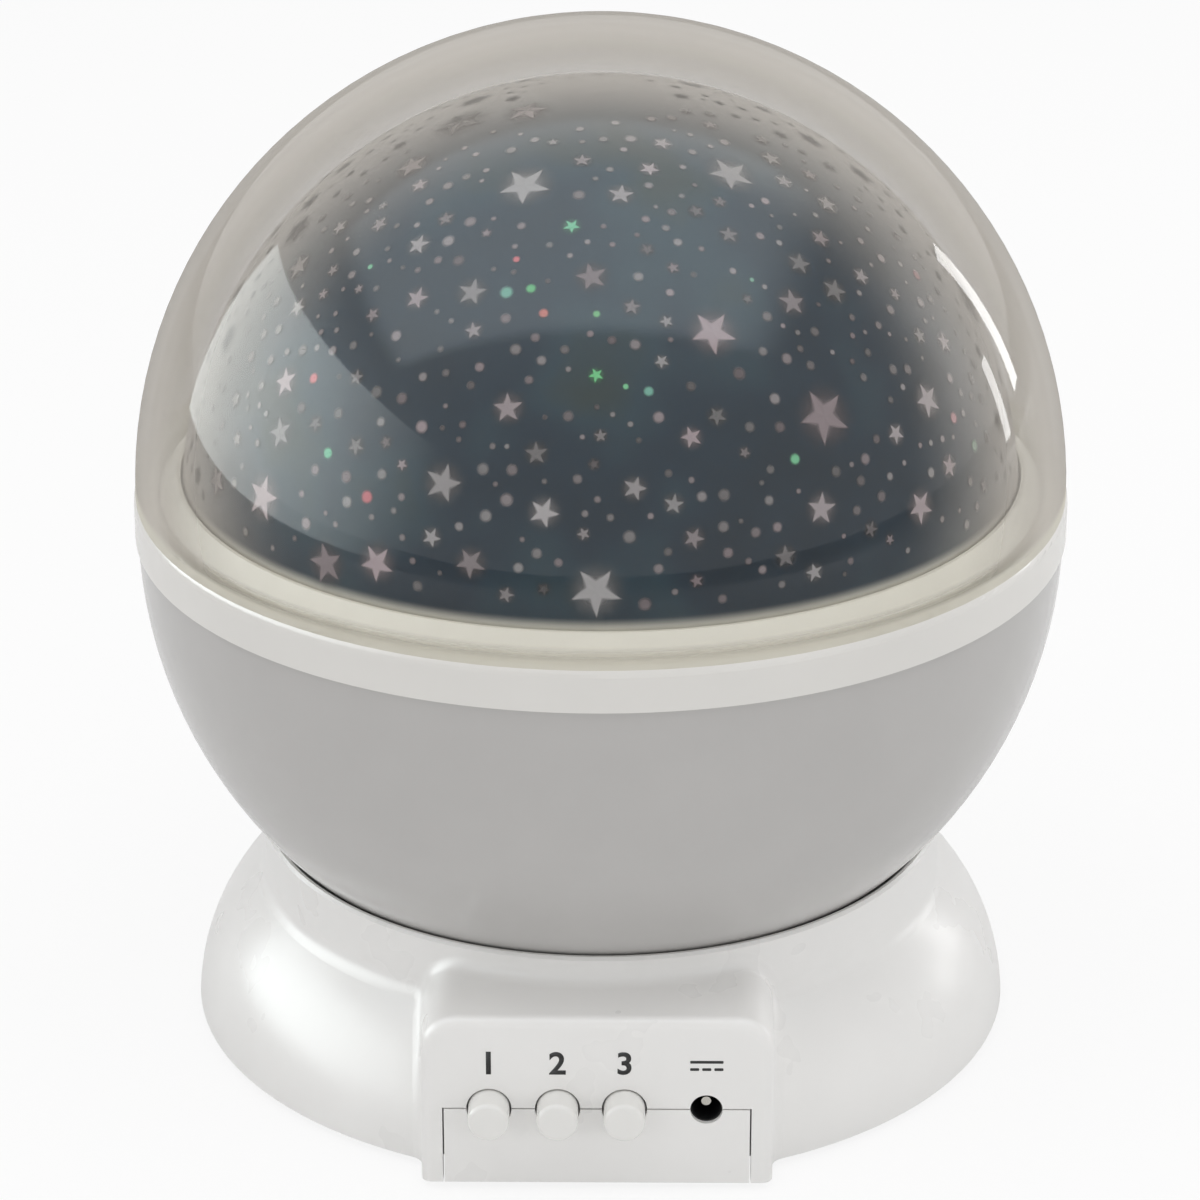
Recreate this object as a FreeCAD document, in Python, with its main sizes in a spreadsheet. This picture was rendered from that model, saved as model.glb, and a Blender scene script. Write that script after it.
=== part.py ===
import FreeCAD, Part
import math
import os
import re
import Sketcher

# Planetarium projector: a ball of bowl, ring and domes turns on a flared base round a fixed lamp column.
# Origin on the turning axis at the resting surface, +Z up, control panel towards -Y, millimetres.

# Driving dimensions
SIZES = {
    # ball
    "ball_radius": 64.0,            # clear cover, outside
    "cover_wall": 1.6,
    "cover_spigot_depth": 2.9,
    "cover_spigot_wall": 1.35,
    "cover_fit": 0.15,              # radial play of the cover's spigot in the ring
    "spigot_ramp": 1.5,
    "ring_proud": 0.25,             # ring beyond the cover
    "ring_height": 5.8,
    "ring_edge": 1.0,               # rounded bead along the ring's top
    "ring_play": 0.05,
    "ring_ledge_depth": 3.3,        # ledge below the ring's top
    "ring_ledge_thickness": 1.8,
    "ring_spigot_depth": 2.4,
    "ring_spigot_wall": 1.9,
    "ring_spigot_play": 0.15,
    "bowl_inset": 0.15,             # bowl inside the cover's radius
    "bowl_wall": 2.0,
    "bowl_floor_radius": 43.1,
    "bowl_floor_thickness": 2.0,
    "bowl_hub_rise": 1.4,
    "bowl_hub_wall": 2.15,
    "gear_boss_radius": 2.8,
    "gear_boss_rise": 3.0,
    "dome_gap": 4.8,                # clear cover to star dome
    "star_dome_wall": 1.2,
    "star_dome_drop": 2.0,          # dome's centre below the ring's top
    "star_ledge_inset": 0.2,
    "collar_rise": 2.7,             # cream collar above the ring's top
    "collar_gap": 0.2,
    "collar_lip": 0.5,
    "collar_play": 0.35,
    "collar_shoulder": 0.2,
    # base
    "foot_height": 1.0,
    "foot_radius": 4.5,
    "foot_recess": 0.6,
    "foot_play": 0.1,
    "foot_inset": 1.8,              # feet's circle inside the neck's outside
    "front_foot_turn": 40.0,
    "rear_foot_turn": 45.0,
    "plate_thickness": 2.0,
    "plate_gap": 0.3,
    "base_wall": 2.0,
    "base_flare": 9.9,              # foot of the flare beyond the neck
    "flare_curve": 27.0,
    "flare_inner_curve": 25.0,
    "crest_flare": 1.1,
    "crest_drop": 1.1,              # flare's crest below the deck
    "crest_fillet": 3.7,
    "crest_fillet_rise": 2.7,
    "wiring_gap": 3.4,              # battery bay's roof to the deck
    "deck_thickness": 2.0,
    "deck_rim_inset": 0.6,
    "lip_rise": 8.4,                # neck's lip above the deck
    "lip_wall": 0.85,
    "lip_edge": 0.4,
    "lip_slope": 1.6,
    "bowl_gap": 0.4,                # bowl to the neck's lip
    "boss_radius": 13.0,
    "boss_wall": 2.5,
    # control panel
    "panel_reach": 0.8,             # panel beyond the flare's foot
    "panel_half_width": 23.4,
    "panel_rise": 5.0,              # panel's top above the deck
    "panel_bury": 0.7,
    "panel_corner": 5.0,
    "panel_edge": 1.4,
    "panel_blend": 2.5,             # hollow round where the panel meets the flare
    "panel_wall": 2.0,
    "panel_neck_gap": 0.1,
    "tongue_inset": 3.1,            # tongue's side in from the panel's
    "tongue_side_gap": 0.2,
    "tongue_top_gap": 0.1,
    "button_height": 12.2,          # button and jack centres above the floor
    "light_button_x": -14.3,
    "colour_button_x": -5.2,
    "spin_button_x": 3.65,
    "jack_x": 14.5,
    "button_radius": 2.75,
    "button_play": 0.25,
    "button_reach": 4.0,
    "button_round": 0.6,
    "button_flange_radius": 3.8,
    "button_flange_thickness": 0.8,
    "button_flange_gap": 0.3,
    "switch_width": 6.0,
    "switch_depth": 3.2,
    "plunger_radius": 1.4,
    "plunger_length": 3.0,
    "plunger_play": 0.1,
    "plunger_well": 3.0,
    "jack_hole_radius": 2.15,
    "jack_width": 9.0,
    "jack_tall": 10.0,
    "jack_depth": 10.3,
    "jack_front_gap": 0.2,
    "jack_nose_radius": 3.2,        # round nose, behind a thin skin of the panel
    "jack_nose_play": 0.1,
    "jack_skin": 0.7,
    "jack_skin_gap": 0.1,
    "jack_bore_radius": 2.0,
    "jack_bore_depth": 9.0,
    "jack_pin_radius": 0.65,
    "jack_pin_length": 7.5,
    "jack_seat_gap": 0.1,
    "jack_seat_margin": 0.6,
    # circuit board
    "board_thickness": 1.6,
    "board_gap": 5.7,               # board to the panel's inner wall
    "board_rest": 0.3,
    "board_tall": 17.6,
    "board_side_gap": 1.4,
    "board_jack_gap": 0.6,
    "board_boss_radius": 1.9,
    "board_boss_inset": 2.4,
    "board_boss_drop": 1.9,
    "board_screw_length": 5.0,
    "chip_width": 5.0,
    "chip_tall": 4.0,
    "chip_depth": 1.5,
    "chip_x": -8.0,
    "chip_height": 8.5,
    "capacitor_radius": 2.5,
    "capacitor_length": 5.0,
    "capacitor_x": 4.0,
    # battery bay
    "cell_count": 4,
    "cell_radius": 5.25,
    "cell_length": 44.5,
    "cell_gap": 0.7,
    "cell_nub_radius": 1.9,
    "cell_nub_length": 1.0,
    "cell_bottom_gap": 0.25,
    "cell_top_gap": 0.45,
    "bay_side_gap": 0.95,
    "bay_post_gap": 0.4,
    "bay_wall": 1.6,
    "bay_roof": 1.3,
    "cover_plate_thickness": 1.7,
    "cover_ledge": 1.0,
    "cover_gap": 0.2,
    "cover_seat_gap": 0.05,
    "cover_tab_half_width": 4.0,
    "cover_tab_length": 6.2,
    "cover_screw_out": 3.4,
    "cover_boss_radius": 3.2,
    "cover_boss_height": 9.0,
    "hook_x": 12.5,
    "hook_half_width": 2.5,
    "hook_length": 2.0,
    "hook_thickness": 0.9,
    "contact_thickness": 0.4,
    "contact_width": 9.2,
    "contact_tall": 9.0,
    "spring_length": 4.0,
    "spring_half_span": 4.5,        # bowed leaf, from its middle to its ends on the plate
    "spring_half_width": 2.5,
    "spring_sheet": 0.3,
    "spring_end": 0.35,
    # drive
    "running_gap": 0.2,
    "shaft_play": 0.05,
    "bush_play": 0.08,
    "bush_wall": 2.0,
    "bush_seat_play": 0.05,
    "bush_flange_width": 2.0,
    "hub_gap": 0.4,                 # bowl's hub to the column's flange
    "bush_flange_thickness": 1.4,
    "gear_thickness": 3.4,
    "gear_module": 1.0,
    "gear_teeth": 52,
    "pinion_teeth": 14,
    "mesh_play": 0.1,
    "tooth_backlash": 0.2,
    "pinion_thickness": 2.9,
    "pinion_lift": 0.1,
    "gear_screw_gap": 3.0,
    "motor_radius": 9.0,
    "motor_length": 12.4,
    "motor_ear_half_length": 14.0,
    "motor_ear_half_width": 4.5,
    "motor_ear_thickness": 1.2,
    "motor_screw_out": 11.5,
    "motor_nose_radius": 3.0,
    "motor_nose_rise": 1.4,
    "motor_nose_play": 0.4,
    "motor_shaft_radius": 1.5,
    "motor_shaft_in": 4.0,
    "motor_shaft_short": 0.3,
    # lamp
    "column_radius": 8.0,
    "column_wall": 1.6,
    "column_flange_lip": 3.5,
    "column_flange_thickness": 1.8,
    "cup_drop": 6.7,                # lamp cup's floor below the ring
    "cup_radius": 15.5,
    "cup_wall": 1.4,
    "cup_floor": 1.5,
    "cup_depth": 8.5,
    "cup_spigot_depth": 4.0,
    "cup_spigot_play": 0.05,
    "cup_bore": 3.5,
    "cup_step": 4.6,
    "cup_step_wall": 1.4,
    "lamp_board_play": 0.3,
    "led_out": 4.4,
    "led_radius": 2.5,
    "led_flange": 0.4,
    "led_flange_height": 1.0,
    "led_height": 5.6,
    # screws
    "screw_head_radius": 2.0,
    "screw_head_height": 1.1,
    "screw_radius": 1.0,
    "screw_play": 0.15,
    "screw_slot": 0.5,
    "screw_slot_reach": 1.2,
    "screw_slot_depth": 0.5,
    "base_screw_length": 12.0,
    "gear_screw_length": 6.2,
    "column_screw_length": 8.0,
    "motor_screw_length": 2.4,
    "motor_screw_web": 0.6,         # deck left under the motor screws' holes
    "cover_screw_length": 6.0,
    "post_radius": 3.2,
    "post_gap": 0.1,
    "post_root": 0.3,               # posts run this far into the deck
    "post_inset": 2.1,              # posts' circle inside the neck's outside
    "front_post_turn": 59.0,
    "rear_post_turn": 75.0,
    # leads
    "lamp_lead_radius": 0.9,
    "lamp_lead_bend": 9.0,
    "lead_radius": 0.6,
    "lead_drop": 1.7,               # lamp lead's centre below the deck
    "motor_lead_x": 5.0,
    "battery_lead_x": 12.0,
    "battery_lead_pitch": 3.0,
    "battery_lead_height": 11.0,
}

# Sizes worked out from the driving ones
DERIVED = {
    "plate_top": "foot_height + plate_thickness",
    "deck_under": "bay_top + wiring_gap",
    "deck_height": "deck_under + deck_thickness",
    "bush_bottom": "deck_height + running_gap",
    "gear_bottom": "bush_bottom + bush_flange_thickness",
    "floor_under": "gear_bottom + gear_thickness",
    "floor_top": "floor_under + bowl_floor_thickness",
    "hub_top": "floor_top + bowl_hub_rise",
    "bowl_radius": "ball_radius - bowl_inset",
    "bowl_inner": "bowl_radius - bowl_wall",
    "ring_bottom": "floor_under + sqrt(bowl_radius^2 - bowl_floor_radius^2)",
    "ring_top": "ring_bottom + ring_height",
    "cover_top": "ring_top + ball_radius",
    "cover_inner": "ball_radius - cover_wall",
    "star_dome_radius": "cover_inner - dome_gap",
    "ring_inner": "cover_inner + ring_play",
    "spigot_outer": "ring_inner - cover_fit",
    "spigot_inner": "spigot_outer - cover_spigot_wall",
    "ledge_top": "ring_top - ring_ledge_depth",
    "star_centre": "ring_top - star_dome_drop",
    "star_inner": "star_dome_radius - star_dome_wall",
    "ledge_inner": "star_inner + star_ledge_inset",
    "collar_outer": "spigot_inner - collar_play",
    "collar_inner": "star_dome_radius + collar_gap",
    "collar_top": "ring_top + collar_rise",
    "lip_height": "deck_height + lip_rise",
    "lip_inner": "sqrt(bowl_radius^2 - (ring_bottom - lip_height)^2) + bowl_gap",
    "neck_radius": "lip_inner + lip_wall",
    "neck_inner": "neck_radius - base_wall",
    "base_radius": "neck_radius + base_flare",
    "base_inner": "base_radius - base_wall",
    "plate_radius": "base_inner - plate_gap",
    "crest_radius": "neck_radius + crest_flare",
    "crest_height": "deck_height - crest_drop",
    "boss_bore": "boss_radius - boss_wall",
    "boss_top": "hub_top + hub_gap",
    "bush_radius": "boss_radius + bush_wall",
    "bush_flange_radius": "bush_radius + bush_flange_width",
    "gear_screw_out": "bush_flange_radius + gear_screw_gap",
    "column_flange_radius": "boss_radius + column_flange_lip",
    "column_screw_out": "boss_radius - boss_wall / 2",
    "post_circle": "neck_radius - post_inset",
    "front_post_x": "post_circle * cos(front_post_turn * 1 deg)",
    "front_post_y": "post_circle * sin(front_post_turn * 1 deg)",
    "rear_post_x": "post_circle * cos(rear_post_turn * 1 deg)",
    "rear_post_y": "post_circle * sin(rear_post_turn * 1 deg)",
    "foot_circle": "neck_radius - foot_inset",
    "front_foot_x": "foot_circle * cos(front_foot_turn * 1 deg)",
    "front_foot_y": "foot_circle * sin(front_foot_turn * 1 deg)",
    "rear_foot_x": "foot_circle * cos(rear_foot_turn * 1 deg)",
    "rear_foot_y": "foot_circle * sin(rear_foot_turn * 1 deg)",
    "panel_front": "base_radius + panel_reach",
    "panel_top": "deck_height + panel_rise",
    "panel_back": "sqrt(neck_radius^2 - panel_half_width^2) - panel_bury",
    "panel_inner": "panel_front - panel_wall",
    "panel_inner_half": "panel_half_width - panel_wall",
    "tongue_half_width": "panel_half_width - tongue_inset",
    "panel_inner_top": "panel_top - panel_wall",
    "button_hole": "button_radius + button_play",
    "board_front": "panel_inner - board_gap",
    "board_back": "board_front - board_thickness",
    "board_low": "plate_top + board_rest",
    "board_high": "board_low + board_tall",
    "board_left": "panel_inner_half - board_side_gap",
    "board_right": "jack_x - jack_width / 2 - board_jack_gap",
    "board_boss_left": "board_left - board_boss_inset",
    "board_boss_right": "board_right - board_boss_inset",
    "board_boss_height": "board_high - board_boss_drop",
    "switch_front": "board_front + switch_depth",
    "flange_front": "panel_inner - button_flange_gap",
    "flange_back": "flange_front - button_flange_thickness",
    "button_front": "panel_front + button_reach",
    "jack_front": "panel_inner - jack_front_gap",
    "jack_back": "jack_front - jack_depth",
    "jack_nose_front": "panel_front - jack_skin - jack_skin_gap",
    "jack_bore_end": "jack_nose_front - jack_bore_depth",
    "jack_bottom": "button_height - jack_tall / 2",
    "cover_plate_top": "foot_height + cover_plate_thickness",
    "cell_height": "cover_plate_top + cell_bottom_gap + cell_radius",
    "bay_ceiling": "cell_height + cell_radius + cell_top_gap",
    "bay_top": "bay_ceiling + bay_roof",
    "cell_pitch": "2 * cell_radius + cell_gap",
    "bay_half_width": "(cell_count - 1) / 2 * cell_pitch + cell_radius + bay_side_gap",
    "bay_front": "front_post_y - post_radius - bay_wall - bay_post_gap",
    "bay_length": "cell_length + spring_length + 2 * contact_thickness",
    "bay_back": "bay_length - bay_front",
    "gear_radius": "gear_module * gear_teeth / 2",
    "pinion_radius": "gear_module * pinion_teeth / 2",
    "motor_y": "gear_radius + pinion_radius + mesh_play",
    "pinion_bottom": "gear_bottom + pinion_lift",
    "pinion_top": "pinion_bottom + pinion_thickness",
    "motor_top": "deck_under - motor_ear_thickness",
    "column_bore": "column_radius - column_wall",
    "column_flange_top": "boss_top + column_flange_thickness",
    "column_top": "ring_bottom - cup_drop",
    "cup_bottom": "column_top",
    "cup_rim": "cup_bottom + cup_depth",
    "cup_inner": "cup_radius - cup_wall",
    "lamp_board_bottom": "cup_bottom + cup_step",
    "lamp_board_top": "lamp_board_bottom + board_thickness",
    "lead_height": "deck_under - lead_drop",
    "screw_shank": "screw_radius - 2 * screw_play",
    "cover_screw_y": "-bay_front - cover_ledge - cover_screw_out",
}

WORD = re.compile(r"[a-z][a-z0-9_]*")
TINY = 1e-6
ADDENDUM = 0.9                      # gear tooth proportions, in modules
DEDENDUM = 1.15
TIP_SHARE = 0.55                    # half widths of a tooth, in shares of that at the pitch circle
ROOT_SHARE = 1.5
HALF_PITCH = 0.5
SPOKES = 3                          # screws round the column and the gear
HALF_TURN = 180.0
QUARTER_TURN = 90.0
X_AXIS = FreeCAD.Vector(1, 0, 0)

doc = FreeCAD.newDocument("planetarium_projector")
sheet = doc.addObject("Spreadsheet::Sheet", "dims")
nodes = []


def fill_sheet():
    for row, (name, size) in enumerate(SIZES.items(), start=1):
        sheet.set("A%d" % row, name)
        sheet.set("B%d" % row, str(size))
        sheet.setAlias("B%d" % row, name)
    doc.recompute()


def bound(text):
    """Write an expression in size names as one that reads the sheet."""
    def swap(match):
        word = match.group(0)
        if word in SIZES:
            return "dims." + word
        if word in DERIVED:
            return "(" + bound(DERIVED[word]) + ")"
        return word
    return WORD.sub(swap, text)


def value(text):
    return float(sheet.evalExpression(bound(text)))


def keep(label, piece):
    """Name a finished sub-part and put it on the list that is written out."""
    piece.Label = label
    nodes.append(piece)
    return piece


# Sketches

def new_sketch(body, name, role, shift=None):
    sketch = body.newObject("Sketcher::SketchObject", name)
    plane = next(item for item in body.Origin.OriginFeatures if item.Role == role)
    sketch.AttachmentSupport = [(plane, "")]
    sketch.MapMode = "FlatFace"
    if shift is not None:
        sketch.setExpression("AttachmentOffset.Base.z", bound(shift))
    return sketch


def pin_point(sketch, piece, end, across, up):
    """Hold one point of a sketch at two bound distances from its origin."""
    for kind, text in (("DistanceX", across), ("DistanceY", up)):
        index = sketch.addConstraint(Sketcher.Constraint(kind, -1, 1, piece, end, value(text)))
        sketch.setExpression("Constraints[%d]" % index, bound(text))


def arc(sketch, start, end, radius, side):
    """Add the short arc between two points that bulges to one side; give its index and end numbers."""
    chord = end - start
    sideways = FreeCAD.Vector(-chord.y, chord.x, 0).normalize()
    back = math.sqrt(radius ** 2 - (chord.Length / 2) ** 2)
    centre = (start + end) * 0.5 - sideways * back * side
    first = math.atan2(start.y - centre.y, start.x - centre.x)
    last = math.atan2(end.y - centre.y, end.x - centre.x)
    whole = 2 * math.pi
    sweep = (last - first) % whole
    forwards = sweep < math.pi
    if not forwards:
        first, sweep = last, whole - sweep
    round_line = Part.Circle(centre, FreeCAD.Vector(0, 0, 1), radius)
    index = sketch.addGeometry(Part.ArcOfCircle(round_line, first, first + sweep), False)
    return (index, 1, 2) if forwards else (index, 2, 1)


def outline(sketch, corners):
    """Closed outline: a corner is (across, up), or (across, up, radius, side) where an arc leads to it."""
    points = [FreeCAD.Vector(value(corner[0]), value(corner[1]), 0) for corner in corners]
    edges = []
    for number, corner in enumerate(corners):
        start, end = points[number - 1], points[number]
        if len(corner) == 2:
            edges.append((sketch.addGeometry(Part.LineSegment(start, end), False), 1, 2))
        else:
            edges.append(arc(sketch, start, end, value(corner[2]), corner[3]))
    for number, edge in enumerate(edges):
        follower = edges[(number + 1) % len(edges)]
        sketch.addConstraint(Sketcher.Constraint("Coincident", edge[0], edge[2], follower[0], follower[1]))
    for edge, corner in zip(edges, corners):
        pin_point(sketch, edge[0], edge[2], corner[0], corner[1])
        if len(corner) > 2:
            index = sketch.addConstraint(Sketcher.Constraint("Radius", edge[0], value(corner[2])))
            sketch.setExpression("Constraints[%d]" % index, bound(corner[2]))


def circle(sketch, across, up, radius):
    centre = FreeCAD.Vector(value(across), value(up), 0)
    index = sketch.addGeometry(Part.Circle(centre, FreeCAD.Vector(0, 0, 1), value(radius)), False)
    pin_point(sketch, index, 3, across, up)
    size = sketch.addConstraint(Sketcher.Constraint("Radius", index, value(radius)))
    sketch.setExpression("Constraints[%d]" % size, bound(radius))


def rectangle(sketch, left, right, low, high):
    outline(sketch, [(left, low), (right, low), (right, high), (left, high)])


def bulge(half, rise):
    """Radius of the arc with this half chord and rise."""
    return "((%s)^2 + (%s)^2) / (2 * (%s))" % (half, rise, rise)


# Features of a body

def new_body(name):
    return doc.addObject("PartDesign::Body", name)


def turn(body, name, corners, kind="PartDesign::Revolution"):
    """Turn a half section, given as radius and height, round the vertical axis."""
    sketch = new_sketch(body, name + "_section", "XZ_Plane")
    outline(sketch, corners)
    feature = body.newObject(kind, name)
    feature.Profile = sketch
    feature.ReferenceAxis = (sketch, ["V_Axis"])
    doc.recompute()
    return feature


def push(body, name, sketch, length, kind="PartDesign::Pad", reverse=False):
    feature = body.newObject(kind, name)
    feature.Profile = sketch
    feature.setExpression("Length", bound(length))
    feature.Reversed = reverse
    doc.recompute()
    return feature


def raised(body, name, low, high, draw):
    """Add what draw() sketches, from one height to another."""
    sketch = new_sketch(body, name + "_sketch", "XY_Plane", low)
    draw(sketch)
    return push(body, name, sketch, "(%s) - (%s)" % (high, low))


def sunk(body, name, low, high, draw):
    """Cut what draw() sketches, from one height to another."""
    sketch = new_sketch(body, name + "_sketch", "XY_Plane", low)
    draw(sketch)
    return push(body, name, sketch, "(%s) - (%s)" % (high, low), "PartDesign::Pocket", True)


def forward(body, name, back, front, draw):
    """Add what draw() sketches in front view, from one distance ahead of the axis to another."""
    sketch = new_sketch(body, name + "_sketch", "XZ_Plane", back)
    draw(sketch)
    return push(body, name, sketch, "(%s) - (%s)" % (front, back))


def bored(body, name, back, front, draw):
    """Cut what draw() sketches in front view, from one distance ahead of the axis to another."""
    sketch = new_sketch(body, name + "_sketch", "XZ_Plane", back)
    draw(sketch)
    return push(body, name, sketch, "(%s) - (%s)" % (front, back), "PartDesign::Pocket", True)


def circles(places, radius):
    def draw(sketch):
        for across, up in places:
            circle(sketch, across, up, radius)
    return draw


def box(left, right, low, high):
    def draw(sketch):
        rectangle(sketch, left, right, low, high)
    return draw


def mirrored(across, up):
    return [(across, up), ("-(%s)" % across, up)]


def turned(label, corners):
    body = new_body(label)
    turn(body, label + "_turning", corners)
    return keep(label, body)


# Places that several pieces share

def feet_places():
    return mirrored("front_foot_x", "-front_foot_y") + mirrored("rear_foot_x", "rear_foot_y")


def post_places():
    return (mirrored("post_circle", "0") + mirrored("front_post_x", "-front_post_y")
            + mirrored("rear_post_x", "rear_post_y"))


def spoke_places(radius, first_turn):
    """Places on a circle, evenly spaced."""
    places = []
    for number in range(SPOKES):
        angle = first_turn + number * 2 * HALF_TURN / SPOKES
        places.append(("%s * cos(%g deg)" % (radius, angle), "%s * sin(%g deg)" % (radius, angle)))
    return places


def button_places():
    return [(name + "_button_x", "button_height") for name in ("light", "colour", "spin")]


def board_boss_places():
    return [("-board_boss_left", "board_boss_height"), ("board_boss_right", "board_boss_height")]


# Base

def base_housing():
    body = new_body("base_housing")
    turn(body, "flare", [
        ("boss_bore", "foot_height"),
        ("base_radius", "foot_height"),
        ("crest_radius", "crest_height", "flare_curve", -1),
        ("neck_radius", "crest_height + crest_fillet_rise", "crest_fillet", 1),
        ("neck_radius", "lip_height - lip_edge"),
        ("neck_radius - lip_edge", "lip_height"),
        ("boss_radius", "lip_height"),
        ("boss_radius", "boss_top"),
        ("boss_bore", "boss_top"),
    ])
    panel_box(body)
    turn(body, "neck_hollow", [
        ("boss_radius", "deck_height"),
        ("neck_inner", "deck_height"),
        ("neck_inner", "lip_height - lip_slope"),
        ("lip_inner", "lip_height"),
        ("lip_inner", "boss_top + foot_height"),
        ("boss_radius", "boss_top + foot_height"),
    ], "PartDesign::Groove")
    turn(body, "flare_hollow", [
        ("0", "0"),
        ("base_inner", "0"),
        ("base_inner", "plate_top"),
        ("neck_radius - deck_rim_inset", "deck_under", "flare_inner_curve", -1),
        ("0", "deck_under"),
    ], "PartDesign::Groove")
    panel_hollow(body)
    raised(body, "posts", "plate_top + post_gap", "deck_under + post_root",
           circles(post_places(), "post_radius"))
    sunk(body, "post_holes", "0", "foot_height + screw_head_height + base_screw_length + post_gap",
         circles(post_places(), "screw_radius"))
    sunk(body, "column_screw_holes", "deck_under", "boss_top",
         circles(spoke_places("column_screw_out", QUARTER_TURN), "screw_radius - screw_play"))
    sunk(body, "shaft_hole", "0", "deck_height",
         circles([("0", "motor_y")], "motor_nose_radius + motor_nose_play"))
    sunk(body, "motor_screw_holes", "0", "deck_height - motor_screw_web",
         circles([("motor_screw_out", "motor_y"), ("-motor_screw_out", "motor_y")],
                 "screw_radius - screw_play"))
    return keep("base_housing", body)


def panel_box(body):
    """Box behind the control panel, with rounded top corners and front edges."""
    def face(sketch):
        outline(sketch, [
            ("-panel_half_width", "foot_height"),
            ("panel_half_width", "foot_height"),
            ("panel_half_width", "panel_top - panel_corner"),
            ("panel_half_width - panel_corner", "panel_top", "panel_corner", -1),
            ("-panel_half_width + panel_corner", "panel_top"),
            ("-panel_half_width", "panel_top - panel_corner", "panel_corner", -1),
        ])
    forward(body, "panel_block", "panel_back", "panel_front", face)
    foot = value("foot_height")
    front = -value("panel_front")
    soften(body, "panel_rounding", "panel_edge",
           lambda extent: extent.YMax < front + TINY and extent.ZMax > foot + TINY)
    top = value("panel_top")
    neck = -value("neck_radius")
    halfway = neck / 2
    soften(body, "panel_blend", "panel_blend",
           lambda extent: abs(extent.ZMin - top) + abs(extent.ZMax - top) < TINY
           and extent.YMin > neck - TINY and extent.YMax < halfway and extent.XMin < 0 < extent.XMax)


def soften(body, name, radius, chosen):
    """Round the edges whose extent is chosen."""
    solid = body.Tip
    edges = ["Edge%d" % number for number, edge in enumerate(solid.Shape.Edges, start=1)
             if chosen(edge.BoundBox)]
    rounding = body.newObject("PartDesign::Fillet", name)
    rounding.Base = (solid, edges)
    rounding.setExpression("Radius", bound(radius))
    doc.recompute()


def panel_hollow(body):
    """Room for the board, and openings for the tongue, the buttons and the jack."""
    def room(sketch):
        reach = "sqrt((neck_radius + panel_neck_gap)^2 - panel_inner_half^2)"
        outline(sketch, [
            ("-panel_inner_half", "-panel_inner"),
            ("panel_inner_half", "-panel_inner"),
            ("panel_inner_half", "-" + reach),
            ("-panel_inner_half", "-" + reach, "neck_radius + panel_neck_gap", 1),
        ])
    sunk(body, "panel_room", "0", "panel_inner_top", room)
    cut = "tongue_half_width + tongue_side_gap"
    bored(body, "tongue_opening", "panel_inner - panel_wall", "panel_front + panel_wall",
          box("-(%s)" % cut, cut, "0", "button_height + tongue_top_gap"))
    bored(body, "button_holes", "panel_inner - panel_wall", "panel_front + panel_wall",
          circles(button_places(), "button_hole"))
    jack_holes(body)
    forward(body, "board_bosses", "board_front", "panel_inner + panel_wall / 2",
            circles(board_boss_places(), "board_boss_radius"))
    bored(body, "board_boss_holes", "board_front", "panel_inner",
          circles(board_boss_places(), "screw_radius - screw_play"))


def jack_holes(body):
    """Hole for the plug, and a wider one behind it for the jack's nose."""
    place = [("jack_x", "button_height")]
    bored(body, "jack_hole", "panel_inner - panel_wall / 4", "panel_front + panel_wall",
          circles(place, "jack_hole_radius"))
    bored(body, "jack_nose_hole", "panel_inner - panel_wall / 4", "panel_front - jack_skin",
          circles(place, "jack_nose_radius + jack_nose_play"))


def base_plate():
    """Bottom cover with the battery bay, the screw seats and the tongue of the panel."""
    body = new_body("base_plate")
    raised(body, "disc", "foot_height", "plate_top", circles([("0", "0")], "plate_radius"))
    raised(body, "panel_floor", "foot_height", "plate_top",
           box("-tongue_half_width", "tongue_half_width", "-panel_front", "-panel_back"))
    forward(body, "tongue", "panel_inner", "panel_front",
            box("-tongue_half_width", "tongue_half_width", "foot_height", "button_height - tongue_top_gap"))
    half = "bay_half_width + bay_wall"
    raised(body, "bay_block", "foot_height", "bay_top",
           box("-(%s)" % half, half, "-bay_front - bay_wall", "bay_back + bay_wall"))
    raised(body, "cover_screw_boss", "foot_height", "cover_boss_height",
           circles([("0", "cover_screw_y")], "cover_boss_radius"))
    raised(body, "jack_seat", "plate_top - plate_thickness / 2", "jack_bottom - jack_seat_gap",
           box("jack_x - jack_width / 2", "jack_x + jack_width / 2",
               "-jack_front + jack_seat_margin", "-jack_back - jack_seat_margin"))
    sunk(body, "bay_room", "0", "bay_ceiling",
         box("-bay_half_width", "bay_half_width", "-bay_front", "bay_back"))
    edge = "bay_half_width + cover_ledge"
    seat = "cover_plate_top + cover_seat_gap"
    sunk(body, "cover_seat", "0", seat,
         box("-(%s)" % edge, edge, "-bay_front - cover_ledge", "bay_back + cover_ledge"))
    tab = "cover_tab_half_width + cover_gap"
    sunk(body, "cover_tab_seat", "0", seat,
         box("-(%s)" % tab, tab, "-bay_front - cover_ledge - cover_tab_length", "-bay_front"))
    for side in ("-", ""):
        sunk(body, "hook_slot", "cover_plate_top - hook_thickness - cover_seat_gap", "plate_top",
             box("%shook_x - hook_half_width - cover_gap" % side,
                 "%shook_x + hook_half_width + cover_gap" % side,
                 "bay_back + cover_ledge", "bay_back + cover_ledge + hook_length + cover_gap"))
    sunk(body, "cover_screw_hole", "0", "cover_boss_height - cover_gap",
         circles([("0", "cover_screw_y")], "screw_radius - screw_play"))
    sunk(body, "foot_seats", "0", "foot_height + foot_recess",
         circles(feet_places(), "foot_radius + foot_play"))
    sunk(body, "screw_holes", "0", "plate_top", circles(post_places(), "screw_radius + screw_play"))
    sunk(body, "screw_seats", "0", "foot_height + screw_head_height",
         circles(post_places(), "screw_head_radius + screw_play"))
    bored(body, "button_notches", "panel_inner - panel_wall", "panel_front + panel_wall",
          circles(button_places(), "button_hole"))
    jack_holes(body)
    return keep("base_plate", body)


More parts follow.
